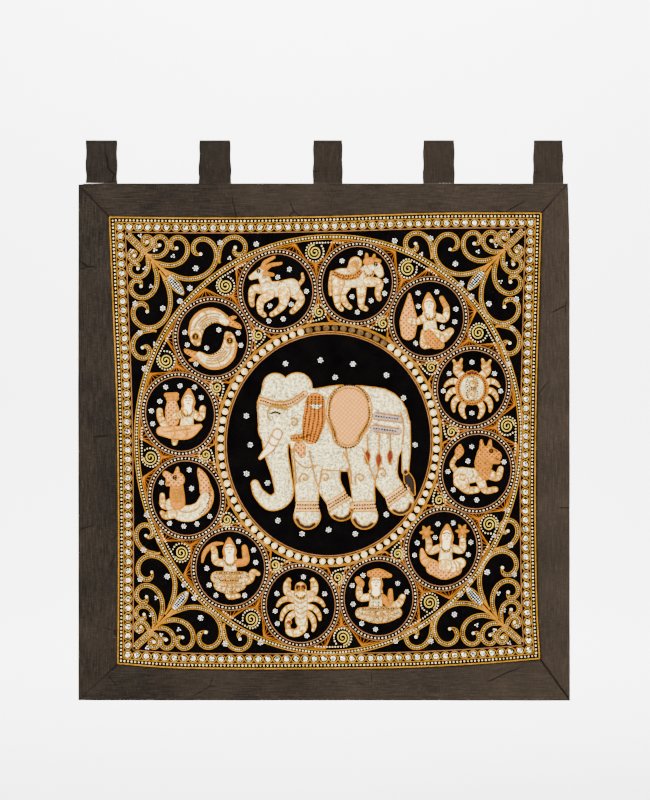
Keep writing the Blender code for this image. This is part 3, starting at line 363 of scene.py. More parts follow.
SILK_DARK, SILK_LIGHT = (0.0045, 0.0034, 0.0022), (0.0290, 0.0206, 0.0138)
DOT = (0.045, 0.010, 0.004)
# In the satin, dotted and neck cloths, the darker colour is painted shade in the fold hollows.
CLOTH = {
    "velvet": velvet_finish(),
    "lining": satin_finish("cotton_lining", (0.040, 0.028, 0.020), (0.025, 0.017, 0.012), 0.2),
    "silk_across": silk_finish("silk_across", "x"),
    "silk_down": silk_finish("silk_down", "z"),
    "silk_tab": silk_finish("silk_tab", "z", (0.0195, 0.0138, 0.0090)),
    "silver": metal_cloth_finish("silver_cloth"),
    "white": satin_finish("white_cloth", (0.98, 0.88, 0.44), (0.24, 0.17, 0.065), 1.0,
                          (0.72, 0.50, 0.18), 300),
    "cream": satin_finish("cream_satin", (0.98, 0.82, 0.32), (0.32, 0.17, 0.028), 1.0,
                          (0.62, 0.30, 0.060), 240),
    "ivory": satin_finish("ivory_satin", (0.95, 0.82, 0.50), (0.62, 0.42, 0.22), 0.3),
    "face": satin_finish("face_satin", (0.95, 0.80, 0.42), (0.80, 0.55, 0.20), 0.15),
    "orange": satin_finish("orange_satin", (0.46, 0.150, 0.001), (0.28, 0.070, 0.001), 0.6),
    "peach": satin_finish("peach_satin", (0.66, 0.27, 0.030), (0.32, 0.11, 0.010), 0.5),
    "beige": satin_finish("beige_satin", (0.74, 0.38, 0.10), (0.40, 0.17, 0.035), 0.5),
    "lilac": satin_finish("lilac_satin", (0.42, 0.31, 0.26), (0.20, 0.13, 0.11), 0.6),
    "red": satin_finish("red_silk", (0.15, 0.014, 0.005), (0.036, 0.003, 0.002), 0.5),
    "dark": satin_finish("dark_cloth", (0.010, 0.004, 0.003), (0.003, 0.002, 0.001), 0.3),
    "dotted_orange": dotted_finish("dotted_orange", (0.50, 0.170, 0.003), (0.30, 0.080, 0.002),
                                   DOT, 0.0060),
    "dotted_peach": dotted_finish("dotted_peach", (0.62, 0.26, 0.050), (0.36, 0.12, 0.014),
                                  DOT, 0.0066),
    "neck": striped_finish("neck_satin", (0.54, 0.150, 0.000), (0.36, 0.085, 0.000),
                           (0.012, 0.003, 0.002)),
    "lattice": lattice_finish("saddle_lattice", (0.80, 0.40, 0.110), (0.42, 0.140, 0.010),
                              (0.090, 0.026, 0.010), 0.0060),
    "patterned": patterned_finish("figured_skirt"),
}
print("cloths:", sorted(CLOTH))

# %% Thread, bead and sequin finishes
def thread_finish(name, light, dark, rib):
    """Wound cord: ribs along its length, read from its length attribute, with painted shade between them."""
    cord = Finish(name, Specular_IOR_Level=0.2, Specular_Tint=(*light, 1))
    length = cord.node("ShaderNodeAttribute", {"attribute_name": "along"}, None, out="Fac")
    ribs = cord.wave(length, rib)
    tone = cord.speckle(60, detail=3)
    # Painted shade and highlight: the ribs darken the colour between them and lighten it on top, over a
    # random drift of tone.
    share = cord.ramp(ribs * 0.5 + tone * 0.9, 0.3, 1.0)
    cord.feed("Base Color", cord.blend(share, dark, light))
    cord.feed("Roughness", 0.50 - ribs * 0.15)
    cord.bump(ribs, 0.0003, 0.8)
    return cord.material


def shiny_finish(name, light, dark, metallic, roughness, coat=0.0, scale=170, low=0.35, high=0.65):
    """A bead, stone or sequin: smooth, with a small drift of tone from one to the next; a fine, sharp ramp
    paints glints.
    """
    shell = Finish(name, Metallic=metallic, Coat_Weight=coat, Coat_Roughness=0.08,
                   Specular_IOR_Level=0.5 if coat else 0.1)
    tone = shell.speckle(scale, detail=2)
    shell.feed("Base Color", shell.blend(shell.ramp(tone, low, high), dark, light))
    shell.feed("Roughness", tone * 0.2 + roughness)
    return shell.material


# Each cord's dark colour is partly painted shade between its ribs.
THREAD = {
    "gold": thread_finish("gold_cord", (0.43, 0.200, 0.014), (0.090, 0.032, 0.003), 0.0013),
    "bright_gold": thread_finish("bright_gold_cord", (0.80, 0.58, 0.080), (0.16, 0.085, 0.006), 0.0013),
    "pale_gold": thread_finish("pale_gold_cord", (0.28, 0.130, 0.052), (0.070, 0.028, 0.012), 0.0012),
    "ray": thread_finish("ray_thread", (0.46, 0.145, 0.004), (0.15, 0.040, 0.002), 0.0010),
    "orange": thread_finish("orange_thread", (0.50, 0.200, 0.010), (0.15, 0.048, 0.003), 0.0010),
    "red": thread_finish("red_thread", (0.14, 0.014, 0.006), (0.04, 0.004, 0.003), 0.0010),
    "dark": thread_finish("dark_thread", (0.012, 0.007, 0.006), (0.004, 0.002, 0.002), 0.0010),
    "bead": shiny_finish("white_bead", (0.95, 0.83, 0.50), (0.50, 0.33, 0.10), 0.0, 0.25, 0.3),
    "champagne_bead": shiny_finish("champagne_bead", (0.62, 0.45, 0.17), (0.20, 0.11, 0.03), 0.0, 0.25, 0.3),
    # Painted glints and reflections: a fine, sharp speckle splits each border sequin into near-white and
    # near-black patches.
    "sequin_painted_glints": shiny_finish("sequin_painted_glints", (0.98, 0.92, 0.66), (0.030, 0.022, 0.010),
                                 0.35, 0.14, 0.5, 330, 0.47, 0.53),
    "sequin": shiny_finish("silver_sequin", (0.98, 0.96, 0.86), (0.22, 0.20, 0.15),
                           0.6, 0.18, 0.3, 420, 0.40, 0.52),
    "stone": shiny_finish("gold_stone", (0.98, 0.86, 0.46), (0.52, 0.28, 0.040), 0.1, 0.20, 0.4),
    "dull_stone": shiny_finish("tarnished_stone", (0.120, 0.066, 0.022), (0.040, 0.020, 0.008), 0.0, 0.6),
    "brown_bead": shiny_finish("brown_bead", (0.024, 0.007, 0.004), (0.008, 0.003, 0.002), 0.0, 0.5),
    "dark_bead": shiny_finish("dark_bead", (0.006, 0.003, 0.002), (0.002, 0.001, 0.001), 0.0, 0.3),
}
print("threads and beads:", sorted(THREAD))
sweep_finish = Finish("white_sweep", Roughness=0.9, Specular_IOR_Level=0.1)
drift = sweep_finish.speckle(2)
sweep_finish.feed("Base Color", sweep_finish.blend(drift, (0.97, 0.97, 0.97), (0.99, 0.99, 0.99)))
sweep.data.materials.append(sweep_finish.material)

# %% [markdown]
# ## Layout
# The panel is hand cut, so its four edges wander. The design is drawn on a square from -1 to 1,
# and a blend of the four edges carries each point of that square onto the real cloth.
# These are the sizes and functions of the solid model, now for whole arrays of points.

# %% Sizes shared with the solids
BODY_HEIGHT, TAB_RISE = 0.967, 0.081
BODY_TOP_Z = TAB_TOP_Z - TAB_RISE
BODY_MID_Z = BODY_TOP_Z - BODY_HEIGHT / 2
PANEL_THICK, BORDER_THICK, TAB_THICK = 0.0030, 0.0024, 0.0020
SEAM_GAP, SEAT_GAP = 0.0003, 0.0004
HALF_WIDTH, HALF_HEIGHT = 0.391, 0.424
SWAY_ACROSS = (0.0014, 0.62, 0.8)
SWAY_DOWN = (0.0012, 0.74, 1.9)
SWAY_START = 0.25
BORDER_WAVE = (0.0007, 0.135)
CENTRE = np.array((0.010, -0.010))
OUTER_RADIUS, PEARL_RADIUS, DISC_RADIUS = 0.917, 0.515, 0.490
ROUNDEL_ORBIT, ROUNDEL_RADIUS, FIGURE_UNIT = 0.720, 0.176, 0.163
ROUNDEL_PHASE, GAP_PHASE, STEP = 19.0, 4.0, 30.0
ROUNDEL_COUNT = 12
Edges = namedtuple("Edges", "left right bottom top")
PANEL = Edges(
    left=((-0.4153, -0.3862), (-0.2956, -0.3852), (-0.1086, -0.3852), (0.0784, -0.3880),
          (0.2654, -0.3955), (0.4215, -0.4021)),
    right=((-0.4060, 0.4049), (-0.2956, 0.3992), (-0.1086, 0.3964), (0.0784, 0.3979),
           (0.2654, 0.4030), (0.4290, 0.4077)),
    bottom=((-0.3862, -0.4153), (-0.2680, -0.4234), (-0.0630, -0.4252), (0.1430, -0.4228),
            (0.2930, -0.4153), (0.4049, -0.4060)),
    top=((-0.4021, 0.4215), (-0.2030, 0.4196), (0.0030, 0.4224), (0.2085, 0.4284), (0.4077, 0.4290)),
)
BODY_EDGES = Edges(
    left=((-0.4832, -0.4590), (0.0, -0.4596), (0.4815, -0.4590)),
    right=((-0.4840, 0.4606), (0.1, 0.4600), (0.36, 0.4598), (0.4835, 0.4568)),
    bottom=((-0.4590, -0.4832), (0.0, -0.4836), (0.4606, -0.4840)),
    top=((-0.4590, 0.4815), (-0.39, 0.4835), (0.1, 0.4835), (0.4568, 0.4835)),
)


# %% Curves and the warp onto the uneven panel
def smooth(points, steps):
    """A Catmull-Rom curve through the rows, with the given steps between each two."""
    rows = np.array(points, float)
    ends = np.vstack([2 * rows[0] - rows[1], rows, 2 * rows[-1] - rows[-2]])
    share = (np.arange(steps) / steps)[:, None]
    curve = []
    for before, here, there, after in zip(ends, ends[1:], ends[2:], ends[3:]):
        curve.append(0.5 * (2 * here + (there - before) * share
                            + (2 * before - 5 * here + 4 * there - after) * share ** 2
                            + (3 * here - before - 3 * there + after) * share ** 3))
    return np.vstack([*curve, rows[-1:]])


def side_points(edges, side, share):
    """Points on one side; share runs left to right or bottom to top."""
    edge = getattr(edges, side)
    along = edge[0][0] + (edge[-1][0] - edge[0][0]) * np.asarray(share, float)
    rows = smooth(edge, 8)
    across = np.interp(along, rows[:, 0], rows[:, 1])
    return np.stack((along, across) if side in ("bottom", "top") else (across, along), axis=-1)


def on_panel(design):
    """Carries points of the square design onto the uneven panel, in metres across and up."""
    design = np.atleast_2d(design)
    a, b = (design[:, 0:1] + 1) / 2, (design[:, 1:2] + 1) / 2
    low, high = side_points(PANEL, "bottom", a[:, 0]), side_points(PANEL, "top", a[:, 0])
    left, right = side_points(PANEL, "left", b[:, 0]), side_points(PANEL, "right", b[:, 0])
    feet = [side_points(PANEL, "bottom", end) for end in (0, 1)]
    heads = [side_points(PANEL, "top", end) for end in (0, 1)]
    corners = ((1 - a) * (1 - b) * feet[0] + a * (1 - b) * feet[1]
               + (1 - a) * b * heads[0] + a * b * heads[1])
    return (1 - b) * low + b * high + (1 - a) * left + a * right - corners + (0, BODY_MID_Z)


def sway(flat):
    """How far the hanging cloth stands back or forward at a place."""
    x, z = flat[..., 0], flat[..., 1]
    depth = np.clip((BODY_TOP_Z - z) / SWAY_START, 0, 1)
    across = SWAY_ACROSS[0] * np.sin(2 * math.pi * x / SWAY_ACROSS[1] + SWAY_ACROSS[2])
    down = SWAY_DOWN[0] * np.sin(2 * math.pi * z / SWAY_DOWN[1] + SWAY_DOWN[2] + 1.5 * x)
    return depth * (across + down)


def lifted(flat, lift):
    """Points in space that stand this far off the velvet's face."""
    return np.stack([flat[:, 0], sway(flat) - PANEL_THICK / 2 - lift, flat[:, 1]], axis=1)


def polar(orbit, degrees, centre=CENTRE):
    angle = np.radians(degrees)
    return np.stack([centre[0] + orbit * np.cos(angle), centre[1] + orbit * np.sin(angle)], axis=-1)


def ring_path(centre, radius, count):
    return on_panel(polar(radius, np.arange(count) * 360 / count, centre))


def shifted(path, distance, closed=False):
    """The path moved sideways by a distance, to its left."""
    if closed:
        along = np.roll(path, -1, axis=0) - np.roll(path, 1, axis=0)
    else:
        along = np.gradient(path, axis=0)
    along = along / np.linalg.norm(along, axis=1)[:, None]
    return path + np.stack([-along[:, 1], along[:, 0]], axis=1) * np.reshape(distance, (-1, 1))


def path_length(path):
    return float(np.linalg.norm(np.diff(path, axis=0), axis=1).sum())


def resampled(path, count):
    """The same path with this many points at equal steps."""
    run = np.concatenate([[0], np.cumsum(np.linalg.norm(np.diff(path, axis=0), axis=1))])
    marks = np.linspace(0, run[-1], count)
    return np.stack([np.interp(marks, run, path[:, i]) for i in range(path.shape[1])], axis=1)


print("panel corners:", on_panel([(-1, -1), (1, 1)]).round(4).tolist())

# %% [markdown]
# ## Cloth
# The velvet, the four silk strips and the five loops are thin closed sheets with a front and a back.
# Each one is a grid of places with a depth. The strips get puckers along the seam and a few creases.

# %% A closed sheet from a grid
def grid_faces(rows, columns):
    corner = (np.arange(rows - 1)[:, None] * columns + np.arange(columns - 1)).ravel()
    return np.stack([corner, corner + 1, corner + 1 + columns, corner + columns], axis=1)


def rim_loop(rows, columns):
    """The border of a grid, in order."""
    last = (rows - 1) * columns
    return [*range(columns), *range(2 * columns - 1, last + columns, columns),
            *range(last + columns - 2, last - 1, -1), *range(last - columns, 0, -columns)]


def closed_sheet(name, flat, front, back, finishes):
    """A sheet over a grid of places; finishes are the front's and the back's."""
    rows, columns = flat.shape[:2]
    places = flat.reshape(-1, 2)
    count = len(places)
    points = np.vstack([
        np.stack([places[:, 0], front.ravel(), places[:, 1]], axis=1),
        np.stack([places[:, 0], back.ravel(), places[:, 1]], axis=1)])
    near = grid_faces(rows, columns)
    a, b = places[near[0][1]] - places[near[0][0]], places[near[0][2]] - places[near[0][0]]
    if a[0] * b[1] - a[1] * b[0] < 0:
        near = near[:, ::-1]
    loop = rim_loop(rows, columns)
    rim = [(i, j, j + count, i + count) for i, j in zip(loop, loop[1:] + loop[:1])]
    sheet = add_mesh(name, points, [*near.tolist(), *(near[:, ::-1] + count).tolist(), *rim])
    for finish in finishes:
        sheet.data.materials.append(finish)
    sides = np.zeros(len(sheet.data.polygons), np.int32)
    sides[len(near):2 * len(near)] = len(finishes) - 1
    sheet.data.polygons.foreach_set("material_index", sides)
    sheet.data.shade_smooth()
    return sheet


def ripples(flat, size, amount, seed=0.0):
    """Gentle unevenness of a hand-worked cloth."""
    depths = [amount * noise.noise(Vector((x / size, seed, z / size))) for x, z in flat.reshape(-1, 2)]
    return np.array(depths).reshape(flat.shape[:-1])


# %% Velvet panel with its plain cotton lining
VELVET_STEP = 0.0070


def make_velvet():
    columns, rows = round(2 * HALF_WIDTH / VELVET_STEP), round(2 * HALF_HEIGHT / VELVET_STEP)
    u, v = np.meshgrid(np.linspace(-1, 1, columns), np.linspace(-1, 1, rows))
    flat = on_panel(np.stack([u.ravel(), v.ravel()], axis=1)).reshape(rows, columns, 2)
    calm = np.clip(np.minimum(1 - abs(u), 1 - abs(v)) / 0.02, 0, 1)
    relief = ripples(flat, 0.05, 0.0006) + ripples(flat, 0.02, 0.0003, 4.0)
    middle = sway(flat)
    return closed_sheet("velvet", flat, middle - PANEL_THICK / 2 + relief * calm,
                        middle + PANEL_THICK / 2, (CLOTH["velvet"], CLOTH["lining"]))


velvet = make_velvet()
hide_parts("velvet_panel")
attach(velvet, BODY)
print("velvet faces:", len(velvet.data.polygons))

# %% Silk border strips
Crease = namedtuple("Crease", "x0 z0 x1 z1 depth width")
CREASES = (
    Crease(0.345, -0.122, 0.385, -0.150, 0.0011, 0.006),
    Crease(-0.402, -0.112, -0.372, -0.128, 0.0010, 0.005),
    Crease(-0.330, -0.980, -0.285, -0.992, 0.0009, 0.006),
    Crease(0.385, -0.965, 0.430, -1.030, 0.0010, 0.007),
    Crease(0.370, -1.010, 0.410, -1.000, 0.0008, 0.006),
    Crease(-0.440, -0.520, -0.405, -0.512, 0.0006, 0.006),
    Crease(0.415, -0.640, 0.450, -0.655, 0.0006, 0.006),
)
BORDER_STEP = 0.0040
BORDER_ROWS = 18
STRIP_LENGTH, STRIP_WIDTH = 0.93, 0.07
HEM_WIDTH = 0.006


def crease_depth(flat):
    """Soft ridges pressed in the silk."""
    total = np.zeros(flat.shape[:-1])
    for crease in CREASES:
        start, run = np.array(crease[:2]), np.array((crease.x1 - crease.x0, crease.z1 - crease.z0))
        offset = flat - start
        share = np.clip((offset @ run) / (run @ run), 0, 1)
        gap = np.linalg.norm(offset - share[..., None] * run, axis=-1)
        total += crease.depth * np.exp(-(gap / crease.width) ** 2)
    return total


ENDS = {"bottom": ("left", "right"), "top": ("left", "right"),
        "left": ("bottom", "top"), "right": ("bottom", "top")}
OUTWARD = {"bottom": (0, -1), "top": (0, 1), "left": (-1, 0), "right": (1, 0)}


def mitre(side, end):
    """The seam's inner and outer point where two strips meet, shared by both."""
    pair = [(side, ENDS[side].index(end)), (end, ENDS[end].index(side))]
    corner = [np.mean([side_points(edges, one, share) for one, share in pair], axis=0)
              for edges in (PANEL, BODY_EDGES)]
    corner[0] = corner[0] + (np.array(OUTWARD[side]) + OUTWARD[end]) * SEAM_GAP
    return np.array(corner)


def make_border(side):
    count = round(STRIP_LENGTH / BORDER_STEP)
    shares = np.linspace(0, 1, count)
    inner = side_points(PANEL, side, shares) + np.array(OUTWARD[side]) * SEAM_GAP
    outer = side_points(BODY_EDGES, side, shares)
    for place, end in zip((0, -1), ENDS[side]):
        inner[place], outer[place] = mitre(side, end)
    t = np.linspace(0, 1, BORDER_ROWS)[:, None, None]
    flat = inner + (outer - inner) * t + (0, BODY_MID_Z)
    ripple = np.sin(2 * math.pi * (flat[..., 0] + 0.8 * flat[..., 1]) / BORDER_WAVE[1])
    middle = sway(flat) + BORDER_WAVE[0] * ripple + ripples(flat, 0.035, 0.0008, 2.0)
    from_seam = t[..., 0] * STRIP_WIDTH
    along = flat[..., 0] if side in ("bottom", "top") else flat[..., 1]
    pucker = 0.0006 * np.sin(along * 330 + 3 * np.sin(along * 41)) * np.exp(-from_seam / 0.008)
    hem = 0.0005 * np.clip((from_seam - (STRIP_WIDTH - HEM_WIDTH)) / 0.002, 0, 1)
    relief = pucker - crease_depth(flat) - hem
    half = BORDER_THICK / 2
    silk = CLOTH["silk_across" if side in ("bottom", "top") else "silk_down"]
    strip = closed_sheet("silk_" + side, flat, middle + relief - half, middle + relief + half, (silk,))
    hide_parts("border_" + side)
    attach(strip, BODY)
    return strip


borders = {side: make_border(side) for side in Edges._fields}
print("border faces:", {side: len(strip.data.polygons) for side, strip in borders.items()})

# %% Hanging loops
Tab = namedtuple("Tab", "centre top_width foot_width")
TABS = (
    Tab(-0.4155, 0.0570, 0.0590),
    Tab(-0.2035, 0.0570, 0.0620),
    Tab(0.0075, 0.0545, 0.0565),
    Tab(0.2150, 0.0580, 0.0595),
    Tab(0.4195, 0.0535, 0.0570),
)
TAB_GAP, TAB_SEAM, TAB_SPREAD, TAB_CREASE = 0.013, 0.009, 0.020, 0.0003
TAB_COLUMNS = 15


def tab_section():
    """The loop's inner and outer line: seam, flare, then the fold over the pole."""
    gap = TAB_GAP / 2
    foot_z = BODY_TOP_Z + SEAM_GAP
    seam_top = foot_z + TAB_SEAM
    arc_z = TAB_TOP_Z - TAB_THICK - gap
    inner = [(TAB_CREASE, seam_top)]
    for share in (0.06, 0.12, 0.22, 0.35, 0.52, 0.7, 0.85, 1.0):
        eased = share * share * (3 - 2 * share)
        inner.append((TAB_CREASE + (gap - TAB_CREASE) * eased, seam_top + TAB_SPREAD * share))
    inner += [(gap, z) for z in np.linspace(seam_top + TAB_SPREAD, arc_z, 8)[1:-1]]
    inner += [(gap * math.cos(t), arc_z + gap * math.sin(t)) for t in np.linspace(0, math.pi / 2, 9)]
    rows = np.array(inner)
    along = np.gradient(rows, axis=0)
    along[-1] = (-1, 0)
    along /= np.linalg.norm(along, axis=1)[:, None]
    outer = rows + np.stack([along[:, 1], -along[:, 0]], axis=1) * TAB_THICK
    outer[0] = (TAB_THICK, foot_z)
    rows[-1, 0], outer[-1, 0] = 0.0, 0.0
    return [np.vstack([half, half[-2::-1] * (-1, 1)]) for half in (rows, outer)]


def make_loop(number, tab):
    """A strip of silk folded into a loop, its sides a little wavy and turned in."""
    foot_z = BODY_TOP_Z + SEAM_GAP
    points = []
    for ring in reversed(tab_section()):
        for column in np.linspace(-1, 1, TAB_COLUMNS):
            for y, z in ring:
                share = (z - foot_z) / TAB_RISE
                width = tab.foot_width + (tab.top_width - tab.foot_width) * share
                wave = 0.0006 * math.sin(z * 150 + number) * abs(column)
                x = tab.centre + column * (width / 2 + wave)
                drift = 0.0005 * noise.noise(Vector((x * 60, number, z * 45))) * min(1, 4 * share)
                points.append((x, y + math.copysign(drift, -y) if abs(y) > 0.001 else y, z))
    count = len(points) // 2 // TAB_COLUMNS
    shell = count * TAB_COLUMNS
    faces = []
    for column in range(TAB_COLUMNS - 1):
        for i in range(count):
            a, b = column * count + i, column * count + (i + 1) % count
            faces.append((a, b, b + count, a + count))
            faces.append((shell + b, shell + a, shell + a + count, shell + b + count))
    for i in range(count):
        j = (i + 1) % count
        far = (TAB_COLUMNS - 1) * count
        faces.append((j, i, shell + i, shell + j))
        faces.append((far + i, far + j, shell + far + j, shell + far + i))
    loop = add_mesh(f"loop_{number}", points, faces)
    loop.data.materials.append(CLOTH["silk_tab"])
    loop.data.shade_smooth()
    loop.data.set_sharp_from_angle(angle=math.radians(50))
    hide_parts(f"tab_{number}")
    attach(loop, BODY)
    return loop


loops = [make_loop(number, tab) for number, tab in enumerate(TABS, 1)]
print("loops:", [len(loop.data.polygons) for loop in loops])

# %% [markdown]
# ## Cords, beads and sequins
# Everything couched on the velvet starts as a line or a row of points kept in a basket.
# Three small Geometry Nodes trees turn baskets into cord, beads and sequins.
# Seeds are fixed, so the work comes out the same each time.

# %% Baskets of lines
class Basket:
    """Lines or single points that wait to become one joined piece."""

    def __init__(self):
        self.points, self.edges, self.thick = [], [], []

    def add(self, path, thick, closed=False):
        first, count = len(self.points), len(path)
        self.points += [tuple(map(float, p)) for p in path]
        self.thick += np.broadcast_to(np.asarray(thick, float), (count,)).tolist()
        self.edges += [(first + i, first + i + 1) for i in range(count - 1)]
        if closed:
            self.edges.append((first + count - 1, first))

    def single(self, place, size):
        """One bead alone: a closed loop too short for a second."""
        near = np.array(((0, 0, 0), (0.0001, 0, 0), (0, 0, 0.0001)))
        self.add(np.asarray(place) + near, size, True)

    def spots(self, points, size):
        self.points += [tuple(map(float, p)) for p in points]
        self.thick += np.broadcast_to(np.asarray(size, float), (len(points),)).tolist()

    def lines(self, name):
        obj = add_mesh(name, np.array(self.points), [], self.edges)
        thick = obj.data.attributes.new("thick", "FLOAT", "POINT")
        thick.data.foreach_set("value", self.thick)
        return obj


# %% A node tree with named inputs
class Tree:
    """A Geometry Nodes tree under construction."""

    def __init__(self, name, **inputs):
        self.group = bpy.data.node_groups.new(name, "GeometryNodeTree")
        face = self.group.interface
        face.new_socket("Geometry", in_out="INPUT", socket_type="NodeSocketGeometry")
        for label, kind in inputs.items():
            face.new_socket(label.replace("_", " "), in_out="INPUT", socket_type=kind)
        face.new_socket("Geometry", in_out="OUTPUT", socket_type="NodeSocketGeometry")
        self.start = self.group.nodes.new("NodeGroupInput")
        self.end = self.group.nodes.new("NodeGroupOutput")

    def given(self, label):
        return self.start.outputs[label.replace("_", " ")]

    def node(self, kind, settings=None, out=0, **values):
        made = self.group.nodes.new(kind)
        for key, value in (settings or {}).items():
            setattr(made, key, value)
        for key, value in values.items():
            socket = made.inputs[int(key[1:])] if key[0] == "_" else made.inputs[key.replace("_", " ")]
            if isinstance(value, bpy.types.NodeSocket):
                self.group.links.new(value, socket)
            else:
                socket.default_value = value
        return made.outputs[out]

    def finish(self, geometry):
        """Ends the tree in real geometry with the given material."""
        real = self.node("GeometryNodeRealizeInstances", Geometry=geometry)
        painted = self.node("GeometryNodeSetMaterial", Geometry=real, Material=self.given("Finish"))
        self.group.links.new(painted, self.end.inputs[0])
        return self.group


# %% The three trees
def cord_tree():
    tree = Tree("couched_cord", Sides="NodeSocketInt", Finish="NodeSocketMaterial")
    curve = tree.node("GeometryNodeMeshToCurve", Mesh=tree.given("Geometry"))
    length = tree.node("GeometryNodeSplineParameter", out="Length")
    marked = tree.node("GeometryNodeStoreNamedAttribute", {"data_type": "FLOAT", "domain": "POINT"},
                       Geometry=curve, Name="along", Value=length)
    ring = tree.node("GeometryNodeCurvePrimitiveCircle", Resolution=tree.given("Sides"), Radius=1.0)
    thick = tree.node("GeometryNodeInputNamedAttribute", {"data_type": "FLOAT"}, Name="thick")
    tube = tree.node("GeometryNodeCurveToMesh", Curve=marked, Profile_Curve=ring, Scale=thick,
                     Fill_Caps=True)
    round_tube = tree.node("GeometryNodeSetShadeSmooth", Geometry=tube)
    return tree.finish(round_tube)


def bead_tree():
    tree = Tree("strung_beads", Pitch="NodeSocketFloat", Segments="NodeSocketInt", Rings="NodeSocketInt",
                Seed="NodeSocketInt", Finish="NodeSocketMaterial")
    curve = tree.node("GeometryNodeMeshToCurve", Mesh=tree.given("Geometry"))
    row = tree.node("GeometryNodeResampleCurve", {"mode": "LENGTH"}, Curve=curve, Length=tree.given("Pitch"))
    ball = tree.node("GeometryNodeMeshUVSphere", Segments=tree.given("Segments"), Rings=tree.given("Rings"),
                     Radius=1.0)
    round_ball = tree.node("GeometryNodeSetShadeSmooth", Geometry=ball)
    thick = tree.node("GeometryNodeInputNamedAttribute", {"data_type": "FLOAT"}, Name="thick")
    varied = tree.node("FunctionNodeRandomValue", {"data_type": "FLOAT"}, 1, _2=0.86, _3=1.08,
                       Seed=tree.given("Seed"))
    size = tree.node("ShaderNodeMath", {"operation": "MULTIPLY"}, _0=thick, _1=varied)
    beads = tree.node("GeometryNodeInstanceOnPoints", Points=row, Instance=round_ball, Scale=size)
    return tree.finish(beads)


def sequin_tree():
    tree = Tree("sewn_sequins", Facets="NodeSocketInt", Tilt="NodeSocketFloat", Seed="NodeSocketInt",
                Finish="NodeSocketMaterial")
    cup = tree.node("GeometryNodeMeshCone", {"fill_type": "NGON"}, Vertices=tree.given("Facets"),
                    Radius_Top=0.42, Radius_Bottom=1.0, Depth=0.34)
    least = tree.node("ShaderNodeMath", {"operation": "MULTIPLY"}, _0=tree.given("Tilt"), _1=-1.0)
    low = tree.node("ShaderNodeCombineXYZ", X=least, Y=-3.0, Z=least)
    high = tree.node("ShaderNodeCombineXYZ", X=tree.given("Tilt"), Y=3.0, Z=tree.given("Tilt"))
    lean = tree.node("FunctionNodeRandomValue", {"data_type": "FLOAT_VECTOR"}, 0, _0=low, _1=high,
                     Seed=tree.given("Seed"))
    facing = tree.node("ShaderNodeVectorMath", {"operation": "ADD"}, _0=lean, _1=(math.pi / 2, 0, 0))
    thick = tree.node("GeometryNodeInputNamedAttribute", {"data_type": "FLOAT"}, Name="thick")
    cups = tree.node("GeometryNodeInstanceOnPoints", Points=tree.given("Geometry"), Instance=cup,
                     Rotation=facing, Scale=thick)
    return tree.finish(cups)


TREES = {"cord": cord_tree(), "beads": bead_tree(), "sequins": sequin_tree()}
print("trees:", sorted(TREES))


# %% Run a tree and keep its mesh
BEAD_SEED, SEQUIN_SEED = 3, 5


def grow(name, basket, tree, finish, slot, **inputs):
    """Makes one joined piece from a basket."""
    lines = basket.lines(name + "_lines")
    modifier = lines.modifiers.new(tree, "NODES")
    modifier.node_group = TREES[tree]
    given = {key.replace("_", " "): value for key, value in inputs.items()}
    for socket in TREES[tree].interface.items_tree:
        if socket.in_out == "INPUT" and socket.name in given:
            modifier[socket.identifier] = given[socket.name]
        elif socket.in_out == "INPUT" and socket.name == "Finish":
            modifier[socket.identifier] = finish
    evaluated = lines.evaluated_get(bpy.context.evaluated_depsgraph_get())
    mesh = bpy.data.meshes.new_from_object(evaluated)
    mesh.name = name
    piece = bpy.data.objects.new(name, mesh)
    bpy.context.scene.collection.objects.link(piece)
    bpy.data.objects.remove(lines)
    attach(piece, BODY)
    return piece


def cords(name, basket, finish, slot="gold_braid", sides=5):
    return grow(name, basket, "cord", THREAD[finish], slot, Sides=sides)


def beads(name, basket, pitch, finish="bead", segments=6, rings=4):
    return grow(name, basket, "beads", THREAD[finish], None, Pitch=pitch, Segments=segments, Rings=rings,
                Seed=BEAD_SEED)


def sequins(name, basket, finish="sequin", facets=10, tilt=0.16):
    return grow(name, basket, "sequins", THREAD[finish], None, Facets=facets, Tilt=tilt, Seed=SEQUIN_SEED)


# %% [markdown]
# ## The border of the panel
# From the edge inward: a thick gold cord, a row of white beads, a thin cord,
# a row of silver sequins each in a ring of two crossing cords, and a last pinkish cord.

# %% Lines at a constant distance inside the panel's edge
CORD = 0.00095
CORD_STEP = 0.003


def inset_line(side, inset, count):
    u, v = 1 - inset / HALF_WIDTH, 1 - inset / HALF_HEIGHT
    t = np.linspace(-1, 1, count)
    across = {"bottom": (t * u, -v + 0 * t), "top": (t * u, v + 0 * t),
              "left": (-u + 0 * t, t * v), "right": (u + 0 * t, t * v)}[side]
    return on_panel(np.stack(across, axis=1))


def inset_loop(inset, count):
    """All four sides in one closed line."""
    sides = [inset_line("bottom", inset, count), inset_line("right", inset, count),
             inset_line("top", inset, count)[::-1], inset_line("left", inset, count)[::-1]]
    return np.vstack([side[:-1] for side in sides])


# %% The thick edging cords, one over each edge of the solid model
EDGING_MIDDLE, EDGING_RADIUS = 0.0018, 0.0009
TWIST = 0.0075
EDGING_STEP, EDGING_LIFT = 0.0012, 0.0016


def make_edging(side):
    """Two strands wound round each other along one edge."""
    line = inset_line(side, EDGING_MIDDLE, 60)
    count = round(path_length(line) / EDGING_STEP)
    line = resampled(line, count)
    turn = 2 * math.pi * np.arange(count) * EDGING_STEP / TWIST
    basket = Basket()
    for start in (0, math.pi):
        swing = EDGING_RADIUS * 0.85
        strand = shifted(line, swing * np.cos(turn + start))
        heights = SEAT_GAP + EDGING_LIFT + swing * np.sin(turn + start)
        basket.add(lifted(strand, heights), EDGING_RADIUS)
    piece = cords("edging_cord_" + side, basket, "gold")
    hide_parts("edging_" + side)
    return piece


edging = [make_edging(side) for side in Edges._fields]
print("edging faces:", [len(piece.data.polygons) for piece in edging])

